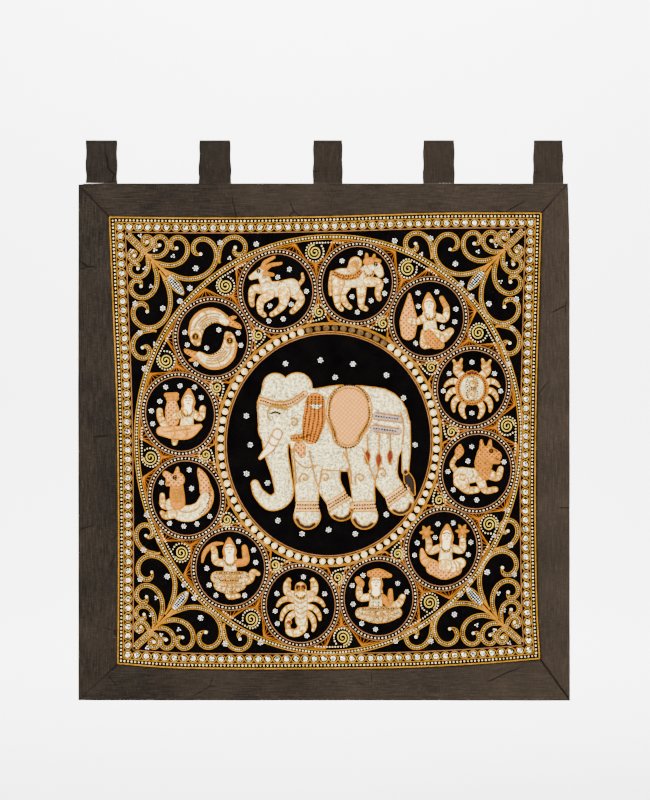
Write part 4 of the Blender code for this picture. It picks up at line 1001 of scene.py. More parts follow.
# %% Bead row, thin cords, and sequins in their rings
BEAD_INSET, BEAD_SIZE, BEAD_PITCH = 0.0072, 0.00185, 0.0067
THIN_INSETS = (0.0112, 0.0292)
SEQUIN_INSET, SEQUIN_SIZE, SEQUIN_PITCH = 0.0196, 0.0050, 0.0174
GUILLOCHE, GUILLOCHE_STEPS = 0.0072, 14
LINE_STEPS = 20


def make_border_work():
    row, thin, pink, rings, silver = Basket(), Basket(), Basket(), Basket(), Basket()
    row.add(lifted(inset_loop(BEAD_INSET, 60), BEAD_SIZE), BEAD_SIZE, True)
    thin.add(lifted(inset_loop(THIN_INSETS[0], 70), 0.0009), CORD * 0.85, True)
    pink.add(lifted(inset_loop(THIN_INSETS[1], 70), 0.0009), CORD, True)
    for side in Edges._fields:
        line = inset_line(side, SEQUIN_INSET, 80)
        count = round(path_length(line) / SEQUIN_PITCH)
        middles = resampled(line, count + 1)
        silver.spots(lifted(middles[1:], 0.0016), SEQUIN_SIZE)
        steps = GUILLOCHE_STEPS * (count - 1) + 1
        share = 0.5 + np.arange(steps) / GUILLOCHE_STEPS
        fine = resampled(line, LINE_STEPS * count + 1)
        marks = np.stack([np.interp(share * LINE_STEPS, np.arange(len(fine)), fine[:, i]) for i in (0, 1)],
                         axis=1)
        swing = np.cos(math.pi * share)
        swing = GUILLOCHE * np.sign(swing) * np.abs(swing) ** 0.6
        for way in (-1, 1):
            over = 0.0009 + 0.0006 * (np.sin(2 * math.pi * share) * way > 0)
            rings.add(lifted(shifted(marks, swing * way), over), CORD)
    for across in (-1, 1):
        for up in (-1, 1):
            corner = (across * (1 - SEQUIN_INSET / HALF_WIDTH), up * (1 - SEQUIN_INSET / HALF_HEIGHT))
            circle = ring_path(np.array(corner), GUILLOCHE / HALF_WIDTH, 24)
            rings.add(lifted(circle, 0.0009), CORD, True)
            silver.spots(lifted(on_panel(corner), 0.0016), SEQUIN_SIZE)
    seams = Basket()
    for side in ("bottom", "top"):
        for end in ("left", "right"):
            line = np.linspace(*mitre(side, end), 30)[:-1] + (0, BODY_MID_Z)
            seams.add(np.stack([line[:, 0], sway(line) - BORDER_THICK / 2, line[:, 1]], axis=1), 0.0010)
    seams.add(lifted(inset_loop(-SEAM_GAP, 200), -0.0012), 0.0011, True)
    cords("border_seams", seams, "dark", "border_silk")
    beads("border_beads", row, BEAD_PITCH)
    cords("border_thin_cord", thin, "gold")
    cords("border_pink_cord", pink, "pale_gold")
    cords("border_rings", rings, "gold")
    # The border sequins carry painted glints and reflections.
    sequins("border_sequins", silver, "sequin_painted_glints", tilt=0.10)


make_border_work()

# %% [markdown]
# ## Rings
# Twelve roundels ride on an orbit round the elephant's disc. Each has two cords with white beads
# between them. A row of big stones on an orange ground closes the disc, and a beaded ring
# closes the whole wheel.

# %% Roundel rims
ROUNDEL_INNER, ROUNDEL_OUTER = -0.0046, 0.0042
ROUNDEL_BEAD = 0.0017


def roundel_middle(k):
    return polar(ROUNDEL_ORBIT, ROUNDEL_PHASE + STEP * k)


def make_roundel_rims():
    inner, outer, row = Basket(), Basket(), Basket()
    for k in range(ROUNDEL_COUNT):
        circle = ring_path(roundel_middle(k), ROUNDEL_RADIUS, 120)
        inner.add(lifted(shifted(circle, -ROUNDEL_INNER, True), 0.0010), CORD, True)
        outer.add(lifted(shifted(circle, -ROUNDEL_OUTER, True), 0.0010), CORD * 1.1, True)
        row.add(lifted(circle, ROUNDEL_BEAD * 0.9), ROUNDEL_BEAD, True)
    cords("roundel_inner_cords", inner, "pale_gold")
    cords("roundel_outer_cords", outer, "pale_gold")
    beads("roundel_beads", row, 0.0068)


make_roundel_rims()

# %% The ring of stones and the outer ring
STONE_SIZE, STONE_COUNT, STONE_SEAT = 0.0063, 80, 0.0010
STONE_MIDDLES = np.arange(STONE_COUNT) * 360 / STONE_COUNT + 1
DULL_FROM, DULL_TO = 56, 104
STONE_CORDS = ((-0.0105, "pale_gold"), (-0.0070, "orange"), (0.0070, "orange"), (0.0095, "gold"))
OUTER_CORDS = (-0.0040, 0.0040)


def flat_backed(piece):
    """Moves what would stand out behind the cloth to a flat back inside the pile."""
    rows = np.empty(3 * len(piece.data.vertices))
    piece.data.vertices.foreach_get("co", rows)
    rows = rows.reshape(-1, 3)
    seat = sway(rows[:, [0, 2]]) - PANEL_THICK / 2 + STONE_SEAT
    rows[:, 1] = np.minimum(rows[:, 1], seat)
    piece.data.vertices.foreach_set("co", rows.ravel())
    piece.data.update()


def make_big_rings():
    pearls = ring_path(CENTRE, PEARL_RADIUS, 240)
    wheel = ring_path(CENTRE, OUTER_RADIUS, 400)
    by_finish = {"pale_gold": Basket(), "orange": Basket(), "gold": Basket()}
    for distance, finish in STONE_CORDS:
        by_finish[finish].add(lifted(shifted(pearls, -distance, True), 0.0011), CORD * 1.15, True)
    for middle in STONE_MIDDLES:
        for side in (-1, 1):
            knot = polar(PEARL_RADIUS + side * 0.012, middle + 180 / STONE_COUNT)
            by_finish["orange"].add(lifted(on_panel(np.array([knot, knot * 0.999])), 0.0012), 0.0016)
    for distance in OUTER_CORDS:
        by_finish["gold"].add(lifted(shifted(wheel, -distance, True), 0.0011), CORD * 1.1, True)
    for finish, basket in by_finish.items():
        cords(f"ring_cords_{finish}", basket, finish)
    dull = (STONE_MIDDLES > DULL_FROM) & (STONE_MIDDLES < DULL_TO)
    places = on_panel(polar(PEARL_RADIUS, STONE_MIDDLES))
    for name, chosen, finish in (("stones", ~dull, "stone"), ("dull_stones", dull, "dull_stone")):
        basket = Basket()
        for place in lifted(places[chosen], 0.0008):
            basket.single(place, STONE_SIZE)
        flat_backed(beads(name, basket, 1.0, finish, segments=14, rings=9))
    row = Basket()
    row.add(lifted(wheel, 0.0018), 0.0018, True)
    beads("outer_ring_beads", row, 0.0058)


make_big_rings()

# %% [markdown]
# ## Spirals and fans between the roundels
# Each gap has a spiral of gold cord, a tail of beads, and three fans of orange thread.

# %% One gap, outer or inner
Gap = namedtuple("Gap", "orbit radius turns tail_orbit tail_degrees fan_foci fan_rays")
GAPS = (
    Gap(0.853, 0.0128, 2.1, 0.892, 8.5, ((0.900, -5.6), (0.900, 5.6), (0.800, 0.0)), 9),
    Gap(0.588, 0.0088, 1.6, 0.552, 6.0, ((0.546, -4.6), (0.546, 4.6), (0.628, 0.0)), 6),
)
FAN_EDGE = 0.190
SIDE_FAN, MIDDLE_FAN = 26, 15
SPIRAL_WAY = -1


def gap_spiral(gap, degrees):
    """A spiral that ends pointing along the ring."""
    turns = np.linspace(0, 1, round(gap.turns * 26))
    angle = np.radians(degrees + SPIRAL_WAY * (turns - 1) * gap.turns * 360)
    radius = (0.0016 + (gap.radius - 0.0016) * turns) / HALF_WIDTH
    middle = polar(gap.orbit, degrees)
    return on_panel(middle + np.stack([radius * np.cos(angle), radius * np.sin(angle)], axis=1))


def gap_tail(gap, degrees):
    """Beads round the last turn of the spiral, then along the ring."""
    turns = np.linspace(-0.85, 0, 22)
    outward = 1 if gap.orbit > ROUNDEL_ORBIT else -1
    angle = np.radians(degrees + (0 if outward > 0 else 180) + SPIRAL_WAY * turns * 360)
    radius = (gap.radius + 0.0034) / HALF_WIDTH
    middle = polar(gap.orbit, degrees)
    around = middle + np.stack([radius * np.cos(angle), radius * np.sin(angle)], axis=1)
    sweep = np.linspace(2.2, gap.tail_degrees, 6) * SPIRAL_WAY * outward
    along = polar(gap.tail_orbit, degrees + sweep)
    return on_panel(smooth(np.vstack([around[::2], along]), 3))


def fan_rays(gap, degrees):
    """Rays from each focus to the rims of the two roundels beside it."""
    rays = []
    for orbit, swing in gap.fan_foci:
        focus = polar(orbit, degrees + swing)
        for side in (-1, 1):
            if swing and side != np.sign(swing):
                continue
            rim = polar(ROUNDEL_ORBIT, degrees + side * STEP / 2)
            toward = math.degrees(math.atan2(focus[1] - rim[1], focus[0] - rim[0]))
            wide, count = (SIDE_FAN, gap.fan_rays) if swing else (MIDDLE_FAN, gap.fan_rays - 2)
            for turn in np.linspace(-wide, wide, count):
                end = polar(FAN_EDGE, toward + turn, rim)
                rays.append(on_panel(np.array([focus, focus + (end - focus) * 0.5, end])))
    return rays


def make_gaps():
    spirals, tails, fans = Basket(), Basket(), Basket()
    for gap in GAPS:
        for k in range(ROUNDEL_COUNT):
            degrees = GAP_PHASE + STEP * k
            spirals.add(lifted(gap_spiral(gap, degrees), 0.0014), 0.00125)
            tails.add(lifted(gap_tail(gap, degrees), 0.0016), 0.0016)
            for ray in fan_rays(gap, degrees):
                fans.add(lifted(ray, 0.0007), (0.0014, 0.00050, 0.00040))
    cords("gap_spirals", spirals, "bright_gold")
    beads("gap_tails", tails, 0.0052)
    cords("gap_fans", fans, "ray", "orange_cloth", 4)


make_gaps()

# %% [markdown]
# ## Corners
# Five scrolls grow from each side of a stem in every corner, with a leaf at the stem's end.

# %% Scroll lines
Scroll = namedtuple("Scroll", "root_a root_b centre_a centre_b ring turn")
SCROLLS = (
    Scroll(0.156, 0.148, 0.170, 0.108, 0.026, -1),
    Scroll(0.172, 0.166, 0.228, 0.117, 0.042, -1),
    Scroll(0.196, 0.190, 0.308, 0.126, 0.052, -1),
    Scroll(0.238, 0.226, 0.420, 0.146, 0.072, -1),
    Scroll(0.508, 0.203, 0.592, 0.141, 0.050, 1),
)
SCROLL_SWEEP, SCROLL_DECAY, SCROLL_FULL, SCROLL_FLARE = 430.0, 70.0, 540.0, 1.15
BAND = ((0.086, 0.083), (0.110, 0.107), (0.145, 0.141), (0.165, 0.161))
BAND_HALF = 0.0058
STEM = ((0.150, 0.146), (0.175, 0.172), (0.240, 0.234), (0.262, 0.258))
LEAF = ((0.262, 0.258), (0.292, 0.292), (0.318, 0.322), (0.336, 0.344))
SCROLL_HALF = 0.0034
FLOWERS = ((0.512, 0.113), (0.679, 0.119), (0.396, 0.226), (0.366, 0.314), (0.318, 0.372),
           (0.236, 0.405), (0.108, 0.387), (0.123, 0.518), (0.139, 0.675))
TREFOILS = ((0.142, 0.084), (0.101, 0.153), (0.208, 0.146), (0.292, 0.173), (0.554, 0.181),
            (0.160, 0.230), (0.184, 0.308), (0.193, 0.564))


def scroll_path(scroll, count):
    """In corner shares: from its root on the stem it winds in to its own middle."""
    start = np.array([scroll.root_a - scroll.centre_a, scroll.root_b - scroll.centre_b])
    reach = np.linalg.norm(start)
    heading = math.degrees(math.atan2(start[1], start[0]))
    swept = np.linspace(0, SCROLL_SWEEP, count)
    ring = SCROLL_FLARE * scroll.ring
    radius = (reach - ring) * np.exp(-swept / SCROLL_DECAY) + ring * (1 - swept / SCROLL_FULL)
    angle = np.radians(heading + scroll.turn * swept)
    return np.stack([scroll.centre_a + radius * np.cos(angle),
                     scroll.centre_b + radius * np.sin(angle)], axis=1)


def corners(shares):
    """Corner shares in each of the four corners, as places on the panel."""
    shares = np.atleast_2d(shares)
    return [on_panel(np.stack([across * (1 - shares[:, 0]), up * (1 - shares[:, 1])], axis=1))
            for across in (-1, 1) for up in (-1, 1)]


def make_corners():
    edges, fill, roots, ends, leaves = Basket(), Basket(), Basket(), Basket(), Basket()
    shapes = [scroll_path(scroll, 90) for scroll in SCROLLS]
    shapes += [path[:, ::-1] for path in shapes]
    for shape in shapes:
        for path in corners(shape):
            count = max(30, round(path_length(path) / CORD_STEP))
            path = resampled(path, count)
            share = np.linspace(0, 1, count)
            half = SCROLL_HALF * np.clip(share / 0.10, 0.12, 1) * np.clip((1 - share) / 0.06, 0.45, 1)
            for way in (-1, 1):
                edges.add(lifted(shifted(path, half * way), 0.0010), CORD)
            inner = path[round(count * 0.11):round(count * 0.95)]
            fill.add(lifted(inner, 0.0016), 0.0016)
            roots.add(lifted(path[:round(count * 0.11)], 0.0016), 0.0021)
            pearl = lifted(path[-1:], 0.0024)[0]
            ends.single(pearl, 0.0031)
    for path in corners(smooth(BAND, 8)):
        for way in (-1, 0, 1):
            edges.add(lifted(shifted(path, way * BAND_HALF), 0.0010), CORD)
        for way in (-0.5, 0.5):
            fill.add(lifted(shifted(path, way * BAND_HALF), 0.0016), 0.0015)
    for path in corners(smooth(STEM, 6)):
        roots.add(lifted(path, 0.0022), np.linspace(0.0016, 0.0030, len(path)))
    for path in corners(smooth(LEAF, 8)):
        share = np.linspace(0, 1, len(path))
        half = 0.0085 * np.sin(math.pi * share ** 0.8) ** 0.8
        rim = np.vstack([shifted(path, half), shifted(path, -half)[::-1]])
        edges.add(lifted(rim, 0.0010), CORD, True)
        for row in (-0.55, 0, 0.55):
            leaves.add(lifted(shifted(path, half * row)[2:-3], 0.0014), 0.0016)
    cords("scroll_edges", edges, "gold")
    beads("scroll_beads", fill, 0.0040, "champagne_bead")
    cords("scroll_roots", roots, "orange", "orange_cloth", 6)
    beads("scroll_ends", ends, 1.0, "bead", segments=8, rings=6)
    beads("leaf_beads", leaves, 0.0040, "sequin")


make_corners()

# %% Sequin flowers of the field
PETAL, PETAL_ORBIT = 0.00145, 0.0038


def flower_spots(middle, petals=6, orbit=PETAL_ORBIT):
    turn = np.arange(petals) * 2 * math.pi / petals + middle[0] * 40
    ring = middle + orbit * np.stack([np.cos(turn), np.sin(turn)], axis=1)
    return np.vstack([ring, [middle]]) if petals > 3 else ring


def make_field_flowers():
    silver = Basket()
    for shares, petals, orbit in ((FLOWERS, 6, PETAL_ORBIT), (TREFOILS, 3, 0.0026)):
        for pair in shares:
            for middle in np.vstack(corners(pair)):
                silver.spots(lifted(flower_spots(middle, petals, orbit), 0.0012), PETAL)
    sequins("field_flowers", silver, tilt=0.22, facets=8)


make_field_flowers()

# %% [markdown]
# ## Padded figures
# A figure is a stack of cloth patches, back to front. Each patch is the union of strokes, and a
# stroke starts at a joint and follows bones, each with a heading, a length and an end half width.
# Lengths are in shares of the roundel's radius. The photo gives each figure's subject, pose and
# place, and the bones give its outline. The solids are made from the same drawings, without faces.

# %% Drawing with joints and bones
Patch = namedtuple("Patch", "cloth strokes")


def patch(cloth, *strokes):
    """One piece of cloth of a figure, cut as the union of its strokes."""
    return Patch(cloth, strokes)


def limb(joint, *bones):
    """Rows across, up and half width: a joint, then bones of heading, length and end half width."""
    rows = [joint]
    for heading, length, half_width in bones:
        turn = math.radians(heading)
        x, z, _ = rows[-1]
        rows.append((x + length * math.cos(turn), z + length * math.sin(turn), half_width))
    return rows


def leg(joint, *headings):
    """Thigh, shank and foot."""
    return limb(joint, *zip(headings, (0.32, 0.27, 0.16), (0.11, 0.075, 0.06)))


def arm(joint, *headings):
    """Upper arm, forearm and hand."""
    return limb(joint, *zip(headings, (0.27, 0.25, 0.12), (0.095, 0.08, 0.07)))


def arc(middle, radius, start, sweep, half_widths):
    """Rows along part of a circle, the half widths spread evenly over it."""
    turns = np.radians(np.linspace(start, start + sweep, len(half_widths)))
    return [(middle[0] + radius * math.cos(turn), middle[1] + radius * math.sin(turn), half_width)
            for turn, half_width in zip(turns, half_widths)]


def mirrored(rows):
    return [(-x, z, half_width) for x, z, half_width in rows]


def disc(x, z, radius):
    return [(x - 0.01, z, radius), (x + 0.01, z, radius)]


def blossom(x, z):
    """Six pointed petals round a middle."""
    petals = [limb((x, z, 0.04), (60 * k, 0.09, 0.05), (60 * k, 0.10, 0.012)) for k in range(6)]
    return patch("orange", *petals)


def person(waist, lean):
    """Torso, hair and face in plain proportions: the head is 0.3 high and the trunk 0.4."""
    up = 90 + lean
    torso = limb((*waist, 0.19), (up, 0.20, 0.17), (up, 0.18, 0.19))
    neck = torso[-1][:2]
    hair = limb((*neck, 0.12), (up, 0.22, 0.19), (up, 0.20, 0.12), (up, 0.12, 0.05))
    chin = limb((*neck, 0.07), (up, 0.12, 0.11))[-1]
    face = limb(chin, (up, 0.10, 0.14), (up, 0.08, 0.14))
    throat = limb((*neck, 0.125), (up, 0.10, 0.10))
    return patch("white", torso), patch("orange", hair), patch("face", throat, face)


def goat():
    return [
        patch("cream", leg((0.46, 0.02, 0.18), -48, -120, -140)),
        patch("cream", leg((-0.38, 0.04, 0.13), 178, -105, -80)),
        patch("cream", limb((0.62, 0.18, 0.05), (50, 0.18, 0.045), (95, 0.16, 0.03))),
        patch("white", limb((-0.28, 0.06, 0.20), (0, 0.34, 0.22), (8, 0.34, 0.24)),
              limb((-0.30, 0.12, 0.17), (112, 0.42, 0.14)), limb((-0.46, 0.52, 0.15), (205, 0.34, 0.07))),
        patch("cream", leg((0.20, -0.04, 0.17), -98, -135, -150)),
        patch("cream", leg((-0.22, -0.08, 0.13), 215, -95, -45)),
        patch("orange", limb((-0.38, 0.48, 0.06), (-8, 0.24, 0.04))),
        patch("orange", limb((-0.44, 0.64, 0.06), (62, 0.16, 0.05), (28, 0.30, 0.03))),
        patch("orange", limb((-0.36, 0.60, 0.06), (34, 0.18, 0.05), (10, 0.32, 0.03))),
    ]


def bull():
    return [
        patch("cream", limb((-0.74, 0.30, 0.05), (-100, 0.32, 0.045), (-88, 0.28, 0.035))),
        patch("cream", leg((-0.30, 0.00, 0.15), -118, -66, -40)),
        patch("cream", leg((0.12, 0.00, 0.15), -90, -90, -35)),
        patch("white", limb((-0.50, 0.16, 0.26), (0, 0.36, 0.27), (0, 0.34, 0.25)),
              limb((0.20, 0.24, 0.21), (42, 0.30, 0.17))),
        patch("cream", limb((-0.14, 0.42, 0.14), (58, 0.16, 0.18))),
        patch("cream", leg((-0.56, 0.02, 0.18), -98, -82, -50)),
        patch("cream", leg((0.32, 0.06, 0.14), -8, -98, -75)),
        patch("orange", limb((0.28, 0.62, 0.06), (92, 0.18, 0.03))),
        patch("orange", limb((0.46, 0.62, 0.06), (76, 0.16, 0.03))),
        patch("white", limb((0.46, 0.52, 0.17), (-42, 0.18, 0.14), (-60, 0.15, 0.10))),
        patch("orange", limb((0.28, 0.60, 0.10), (8, 0.20, 0.08), (-4, 0.18, 0.04))),
    ]


def lion():
    return [
        patch("cream", limb((-0.56, -0.02, 0.07), (128, 0.26, 0.06), (62, 0.24, 0.055))),
        patch("dotted_orange", limb((-0.56, 0.40, 0.06), (70, 0.16, 0.12), (84, 0.16, 0.03))),
        patch("white", limb((-0.42, -0.12, 0.25), (4, 0.36, 0.19), (18, 0.30, 0.18))),
        patch("cream", limb((-0.46, -0.26, 0.21), (-50, 0.30, 0.11), (0, 0.28, 0.08))),
        patch("cream", limb((0.10, -0.22, 0.13), (-62, 0.32, 0.09), (4, 0.30, 0.07))),
        patch("cream", limb((0.34, -0.06, 0.14), (-18, 0.28, 0.10), (66, 0.24, 0.075))),
        patch("dotted_orange", limb((0.24, 0.46, 0.22), (-98, 0.28, 0.24), (-82, 0.28, 0.14))),
        patch("dotted_orange", limb((0.16, 0.60, 0.08), (96, 0.24, 0.03))),
        patch("dotted_orange", limb((0.36, 0.62, 0.08), (80, 0.22, 0.03))),
        patch("dotted_orange", limb((0.34, 0.50, 0.20), (-20, 0.24, 0.15))),
        patch("orange", limb((0.44, 0.30, 0.09), (-12, 0.20, 0.05))),
    ]


def crab():
    patches = []
    for k in range(4):
        out = 22 - 27 * k
        root = (0.36 * math.cos(math.radians(out)), 0.36 * math.sin(math.radians(out)) - 0.04, 0.085)
        rows = limb(root, (out, 0.22, 0.08), (out - 40, 0.17, 0.06), (out - 66, 0.13, 0.03))
        patches += [patch("cream", rows), patch("cream", mirrored(rows))]
    claw = limb((0.24, 0.28, 0.10), (42, 0.24, 0.11), (96, 0.14, 0.12))
    nippers = [limb((0.38, 0.58, 0.07), (112, 0.20, 0.03)), limb((0.44, 0.58, 0.06), (58, 0.18, 0.03))]
    for side in (claw, mirrored(claw)):
        patches.append(patch("cream", side))
    for side in (nippers, [mirrored(rows) for rows in nippers]):
        patches.append(patch("cream", *side))
    return [*patches, patch("orange", disc(0, -0.02, 0.46)), patch("white", disc(0, -0.02, 0.36))]


def scorpion():
    patches = []
    for k in range(3):
        out = 14 - 26 * k
        bones = ((out, 0.26, 0.075), (out - 34, 0.22, 0.06), (out - 64, 0.16, 0.035))
        rows = limb((0.12, 0.12 - 0.14 * k, 0.075), *bones)
        patches += [patch("cream", rows), patch("cream", mirrored(rows))]
    claw = limb((0.14, 0.30, 0.08), (10, 0.24, 0.09), (84, 0.20, 0.10), (106, 0.16, 0.05))
    nipper = limb((0.42, 0.56, 0.06), (136, 0.16, 0.03))
    for flip in (list, mirrored):
        patches.append(patch("cream", flip(claw), flip(nipper)))
    bones = ((-84, 0.26, 0.13), (-140, 0.22, 0.11), (170, 0.22, 0.09), (100, 0.20, 0.04))
    return [
        *patches,
        patch("cream", limb((0.02, -0.34, 0.16), *bones)),
        patch("white", limb((0, 0.26, 0.19), (-90, 0.36, 0.18), (-88, 0.32, 0.15))),
        patch("cream", limb((0, 0.32, 0.17), (90, 0.16, 0.15))),
    ]


def fish():
    """The upper fish of the pair. The lower one is the same fish half a turn round."""
    middle = (0.02, 0.08)
    return [
        patch("orange", arc(middle, 0.62, 172, -118, (0.12, 0.16, 0.16, 0.12, 0.06))),
        patch("dotted_orange", limb((0.46, 0.46, 0.09), (-22, 0.30, 0.06), (-34, 0.10, 0.02)),
              limb((0.42, 0.48, 0.07), (26, 0.20, 0.045), (10, 0.08, 0.02))),
        patch("white", arc(middle, 0.52, 178, -134, (0.17, 0.20, 0.20, 0.16, 0.09))),
        patch("cream", limb((-0.50, 0.10, 0.17), (-82, 0.14, 0.14), (-60, 0.10, 0.07))),
    ]


def sea_beast():
    middle = (0.02, 0.12)
    return [
        patch("dotted_peach", arc(middle, 0.64, -60, 80, (0.10, 0.13, 0.14, 0.13, 0.09))),
        patch("dotted_peach",
              limb((0.56, 0.18, 0.15), (98, 0.26, 0.14), (114, 0.26, 0.09), (118, 0.14, 0.02))),
        patch("cream", limb((-0.46, -0.22, 0.11), (168, 0.22, 0.09), (98, 0.26, 0.06))),
        patch("white", arc(middle, 0.54, 214, 138, (0.19, 0.22, 0.22, 0.18, 0.13))),
        patch("cream", limb((-0.40, -0.42, 0.13), (196, 0.22, 0.09), (140, 0.14, 0.05))),
        patch("orange", limb((-0.28, 0.34, 0.17), (-88, 0.26, 0.20), (-84, 0.20, 0.20))),
        patch("dotted_peach", limb((-0.28, 0.60, 0.10), (84, 0.22, 0.03))),
        patch("dotted_peach", limb((-0.26, 0.50, 0.20), (182, 0.20, 0.13)),
              limb((-0.44, 0.54, 0.10), (146, 0.20, 0.08)), limb((-0.40, 0.40, 0.09), (188, 0.16, 0.05))),
    ]


def maiden_with_sheaf():
    torso, hair, face = person((0.04, -0.26), 3)
    return [
        patch("dotted_peach",
              limb((-0.60, -0.38, 0.20), (88, 0.32, 0.24), (88, 0.34, 0.15), (88, 0.38, 0.03))),
        patch("cream", arm((0.20, 0.06, 0.10), -12, 76, 104)),
        patch("orange", limb((0.48, 0.38, 0.07), (120, 0.20, 0.06))),
        patch("cream", limb((-0.06, -0.40, 0.16), (-106, 0.32, 0.09), (-8, 0.18, 0.06))),
        torso,
        patch("cream", limb((0.10, -0.42, 0.18), (-16, 0.30, 0.15), (34, 0.30, 0.09))),
        patch("dotted_orange", limb((0.00, -0.44, 0.15), (-52, 0.26, 0.16), (-20, 0.20, 0.10))),
        hair,
        face,
        patch("cream", arm((-0.08, 0.04, 0.11), 204, 176)),
    ]


def maiden_with_flowers():
    torso, hair, face = person((0.08, -0.30), -3)
    return [
        patch("peach", limb((-0.24, -0.46, 0.14), (152, 0.32, 0.12), (108, 0.30, 0.04))),
        patch("cream", arm((-0.12, 0.02, 0.10), 196, 96, 110)),
        patch("cream", arm((0.28, 0.02, 0.10), -10, 82, 92)),
        patch("dotted_peach", limb((-0.30, -0.52, 0.18), (-12, 0.34, 0.24), (10, 0.32, 0.20))),
        torso,
        patch("cream", limb((0.02, -0.44, 0.16), (-6, 0.30, 0.17), (24, 0.22, 0.14))),
        hair,
        face,
        blossom(-0.48, 0.44),
        blossom(0.57, 0.48),
    ]


def seated():
    torso, hair, face = person((-0.08, -0.22), 0)
    return [
        patch("cream", arm((-0.26, 0.04, 0.10), 184, 98, 60)),
        patch("cream", limb((0.30, -0.26, 0.12), (22, 0.30, 0.10), (56, 0.22, 0.08))),
        patch("orange", limb((0.10, 0.02, 0.10), (-34, 0.26, 0.09), (84, 0.34, 0.05))),
        torso,
        patch("patterned", limb((-0.52, -0.40, 0.15), (-6, 0.40, 0.23), (2, 0.36, 0.22), (8, 0.30, 0.14))),
        patch("orange", limb((-0.52, 0.40, 0.09), (128, 0.14, 0.08))),
        hair,
        face,
        patch("dotted_orange", limb((-0.24, 0.66, 0.09), (4, 0.26, 0.12), (-12, 0.32, 0.05))),
    ]


def archer():
    torso, hair, face = person((0.00, -0.14), 2)
    return [
        patch("orange", arc((-0.30, 0.16), 0.52, 82, 96, (0.025, 0.05, 0.055, 0.05, 0.025))),
        patch("cream", arm((-0.16, 0.14, 0.10), 168, 98, 112)),
        patch("orange", arm((0.18, 0.14, 0.10), 12, 92, 100)),
        patch("cream", limb((0.00, -0.50, 0.14), (-94, 0.24, 0.09), (0, 0.26, 0.055))),
        patch("cream", limb((0.30, -0.32, 0.15), (6, 0.26, 0.11), (60, 0.22, 0.08), (-16, 0.16, 0.05))),
        patch("patterned", limb((-0.30, -0.44, 0.17), (-8, 0.30, 0.22), (10, 0.30, 0.16))),
        torso,
        patch("patterned", limb((-0.40, -0.24, 0.16), (0, 0.40, 0.17), (0, 0.40, 0.15))),
        hair,
        face,
    ]


def water_bearer():
    torso, hair, face = person((0.20, -0.28), -4)
    return [
        patch("cream", limb((-0.40, -0.36, 0.11), (124, 0.30, 0.09), (98, 0.20, 0.08))),
        patch("cream", limb((-0.14, -0.60, 0.11), (-96, 0.18, 0.07))),
        patch("cream", arm((0.36, 0.04, 0.10), -28, 74)),
        torso,
        patch("peach", limb((-0.56, -0.46, 0.12), (-6, 0.42, 0.18), (4, 0.40, 0.18), (24, 0.36, 0.06))),
        patch("dotted_peach", limb((-0.22, -0.16, 0.18), (92, 0.26, 0.19), (92, 0.22, 0.13))),
        patch("orange", limb((-0.34, 0.42, 0.06), (2, 0.24, 0.06))),
        patch("orange", limb((-0.40, 0.51, 0.06), (2, 0.30, 0.06))),
        hair,
        face,
        patch("cream", arm((0.12, 0.02, 0.11), 196)),
    ]


def ankle(*bones):
    """A pillar of a leg: the foot is wider than the shank."""
    half_widths = (0.12, 0.105, 0.125)
    return [(heading, length, half) for (heading, length), half in zip(bones, half_widths)]


ELEPHANT_LEGS = {
    "far_hind": limb((0.50, 0.00, 0.19), *ankle((-80, 0.28), (-58, 0.18), (-56, 0.10))),
    "far_fore": limb((-0.04, -0.04, 0.17), *ankle((-84, 0.28), (-62, 0.18), (-60, 0.10))),
    "near_hind": limb((0.34, -0.04, 0.19), *ankle((-92, 0.28), (-86, 0.20), (-88, 0.12))),
    "near_fore": limb((-0.20, -0.04, 0.16), *ankle((-92, 0.28), (-90, 0.20), (-90, 0.12))),
}
ELEPHANT_BODY = (
    patch("silver", limb((0.74, 0.20, 0.05), (-86, 0.22, 0.04), (-92, 0.22, 0.03))),
    patch("dark", limb((0.75, -0.24, 0.02), (-68, 0.10, 0.045), (-68, 0.12, 0.012))),
    patch("silver", ELEPHANT_LEGS["far_hind"]),
    patch("silver", ELEPHANT_LEGS["far_fore"]),
    patch("silver", limb((-0.14, 0.20, 0.31), (2, 0.28, 0.34), (-2, 0.30, 0.33)),
          limb((-0.10, 0.04, 0.27), (0, 0.30, 0.29), (2, 0.24, 0.28))),
    patch("silver", ELEPHANT_LEGS["near_hind"]),
    patch("silver", ELEPHANT_LEGS["near_fore"]),
    patch("silver", limb((-0.20, 0.28, 0.24), (166, 0.22, 0.22)),
          limb((-0.34, 0.42, 0.18), (70, 0.10, 0.14)),
          limb((-0.50, 0.42, 0.16), (100, 0.11, 0.12)), limb((-0.46, 0.34, 0.23), (-104, 0.20, 0.17)),
          limb((-0.52, 0.16, 0.14), (-88, 0.22, 0.11), (-76, 0.22, 0.09), (-84, 0.18, 0.085),
               (-150, 0.14, 0.07), (145, 0.14, 0.05), (115, 0.10, 0.035))),
    patch("ivory", limb((-0.50, 0.10, 0.045), (-120, 0.14, 0.04), (-135, 0.14, 0.012))),
)
SADDLE = limb((0.20, 0.34, 0.18), (-92, 0.10, 0.18), (-96, 0.14, 0.11))
NECK_CLOTH = limb((-0.13, 0.38, 0.09), (-95, 0.16, 0.105), (-102, 0.14, 0.08))
STRAPS = [limb((0.46 - 0.02 * k, 0.26 - 0.11 * k, 0.034), (-7, 0.24, 0.030)) for k in range(2)]
TASSELS = [limb((0.38 + 0.11 * k, -0.05 - 0.03 * (k % 2), 0.010), (-92, 0.05, 0.028), (-92, 0.07, 0.008))
           for k in range(3)]

FIGURES = {
    "crab": crab(), "maiden_with_sheaf": maiden_with_sheaf(), "bull": bull(), "goat": goat(),
    "fish": fish(), "water_bearer": water_bearer(), "sea_beast": sea_beast(), "archer": archer(),
    "scorpion": scorpion(), "seated": seated(), "maiden_with_flowers": maiden_with_flowers(),
    "lion": lion(),
}

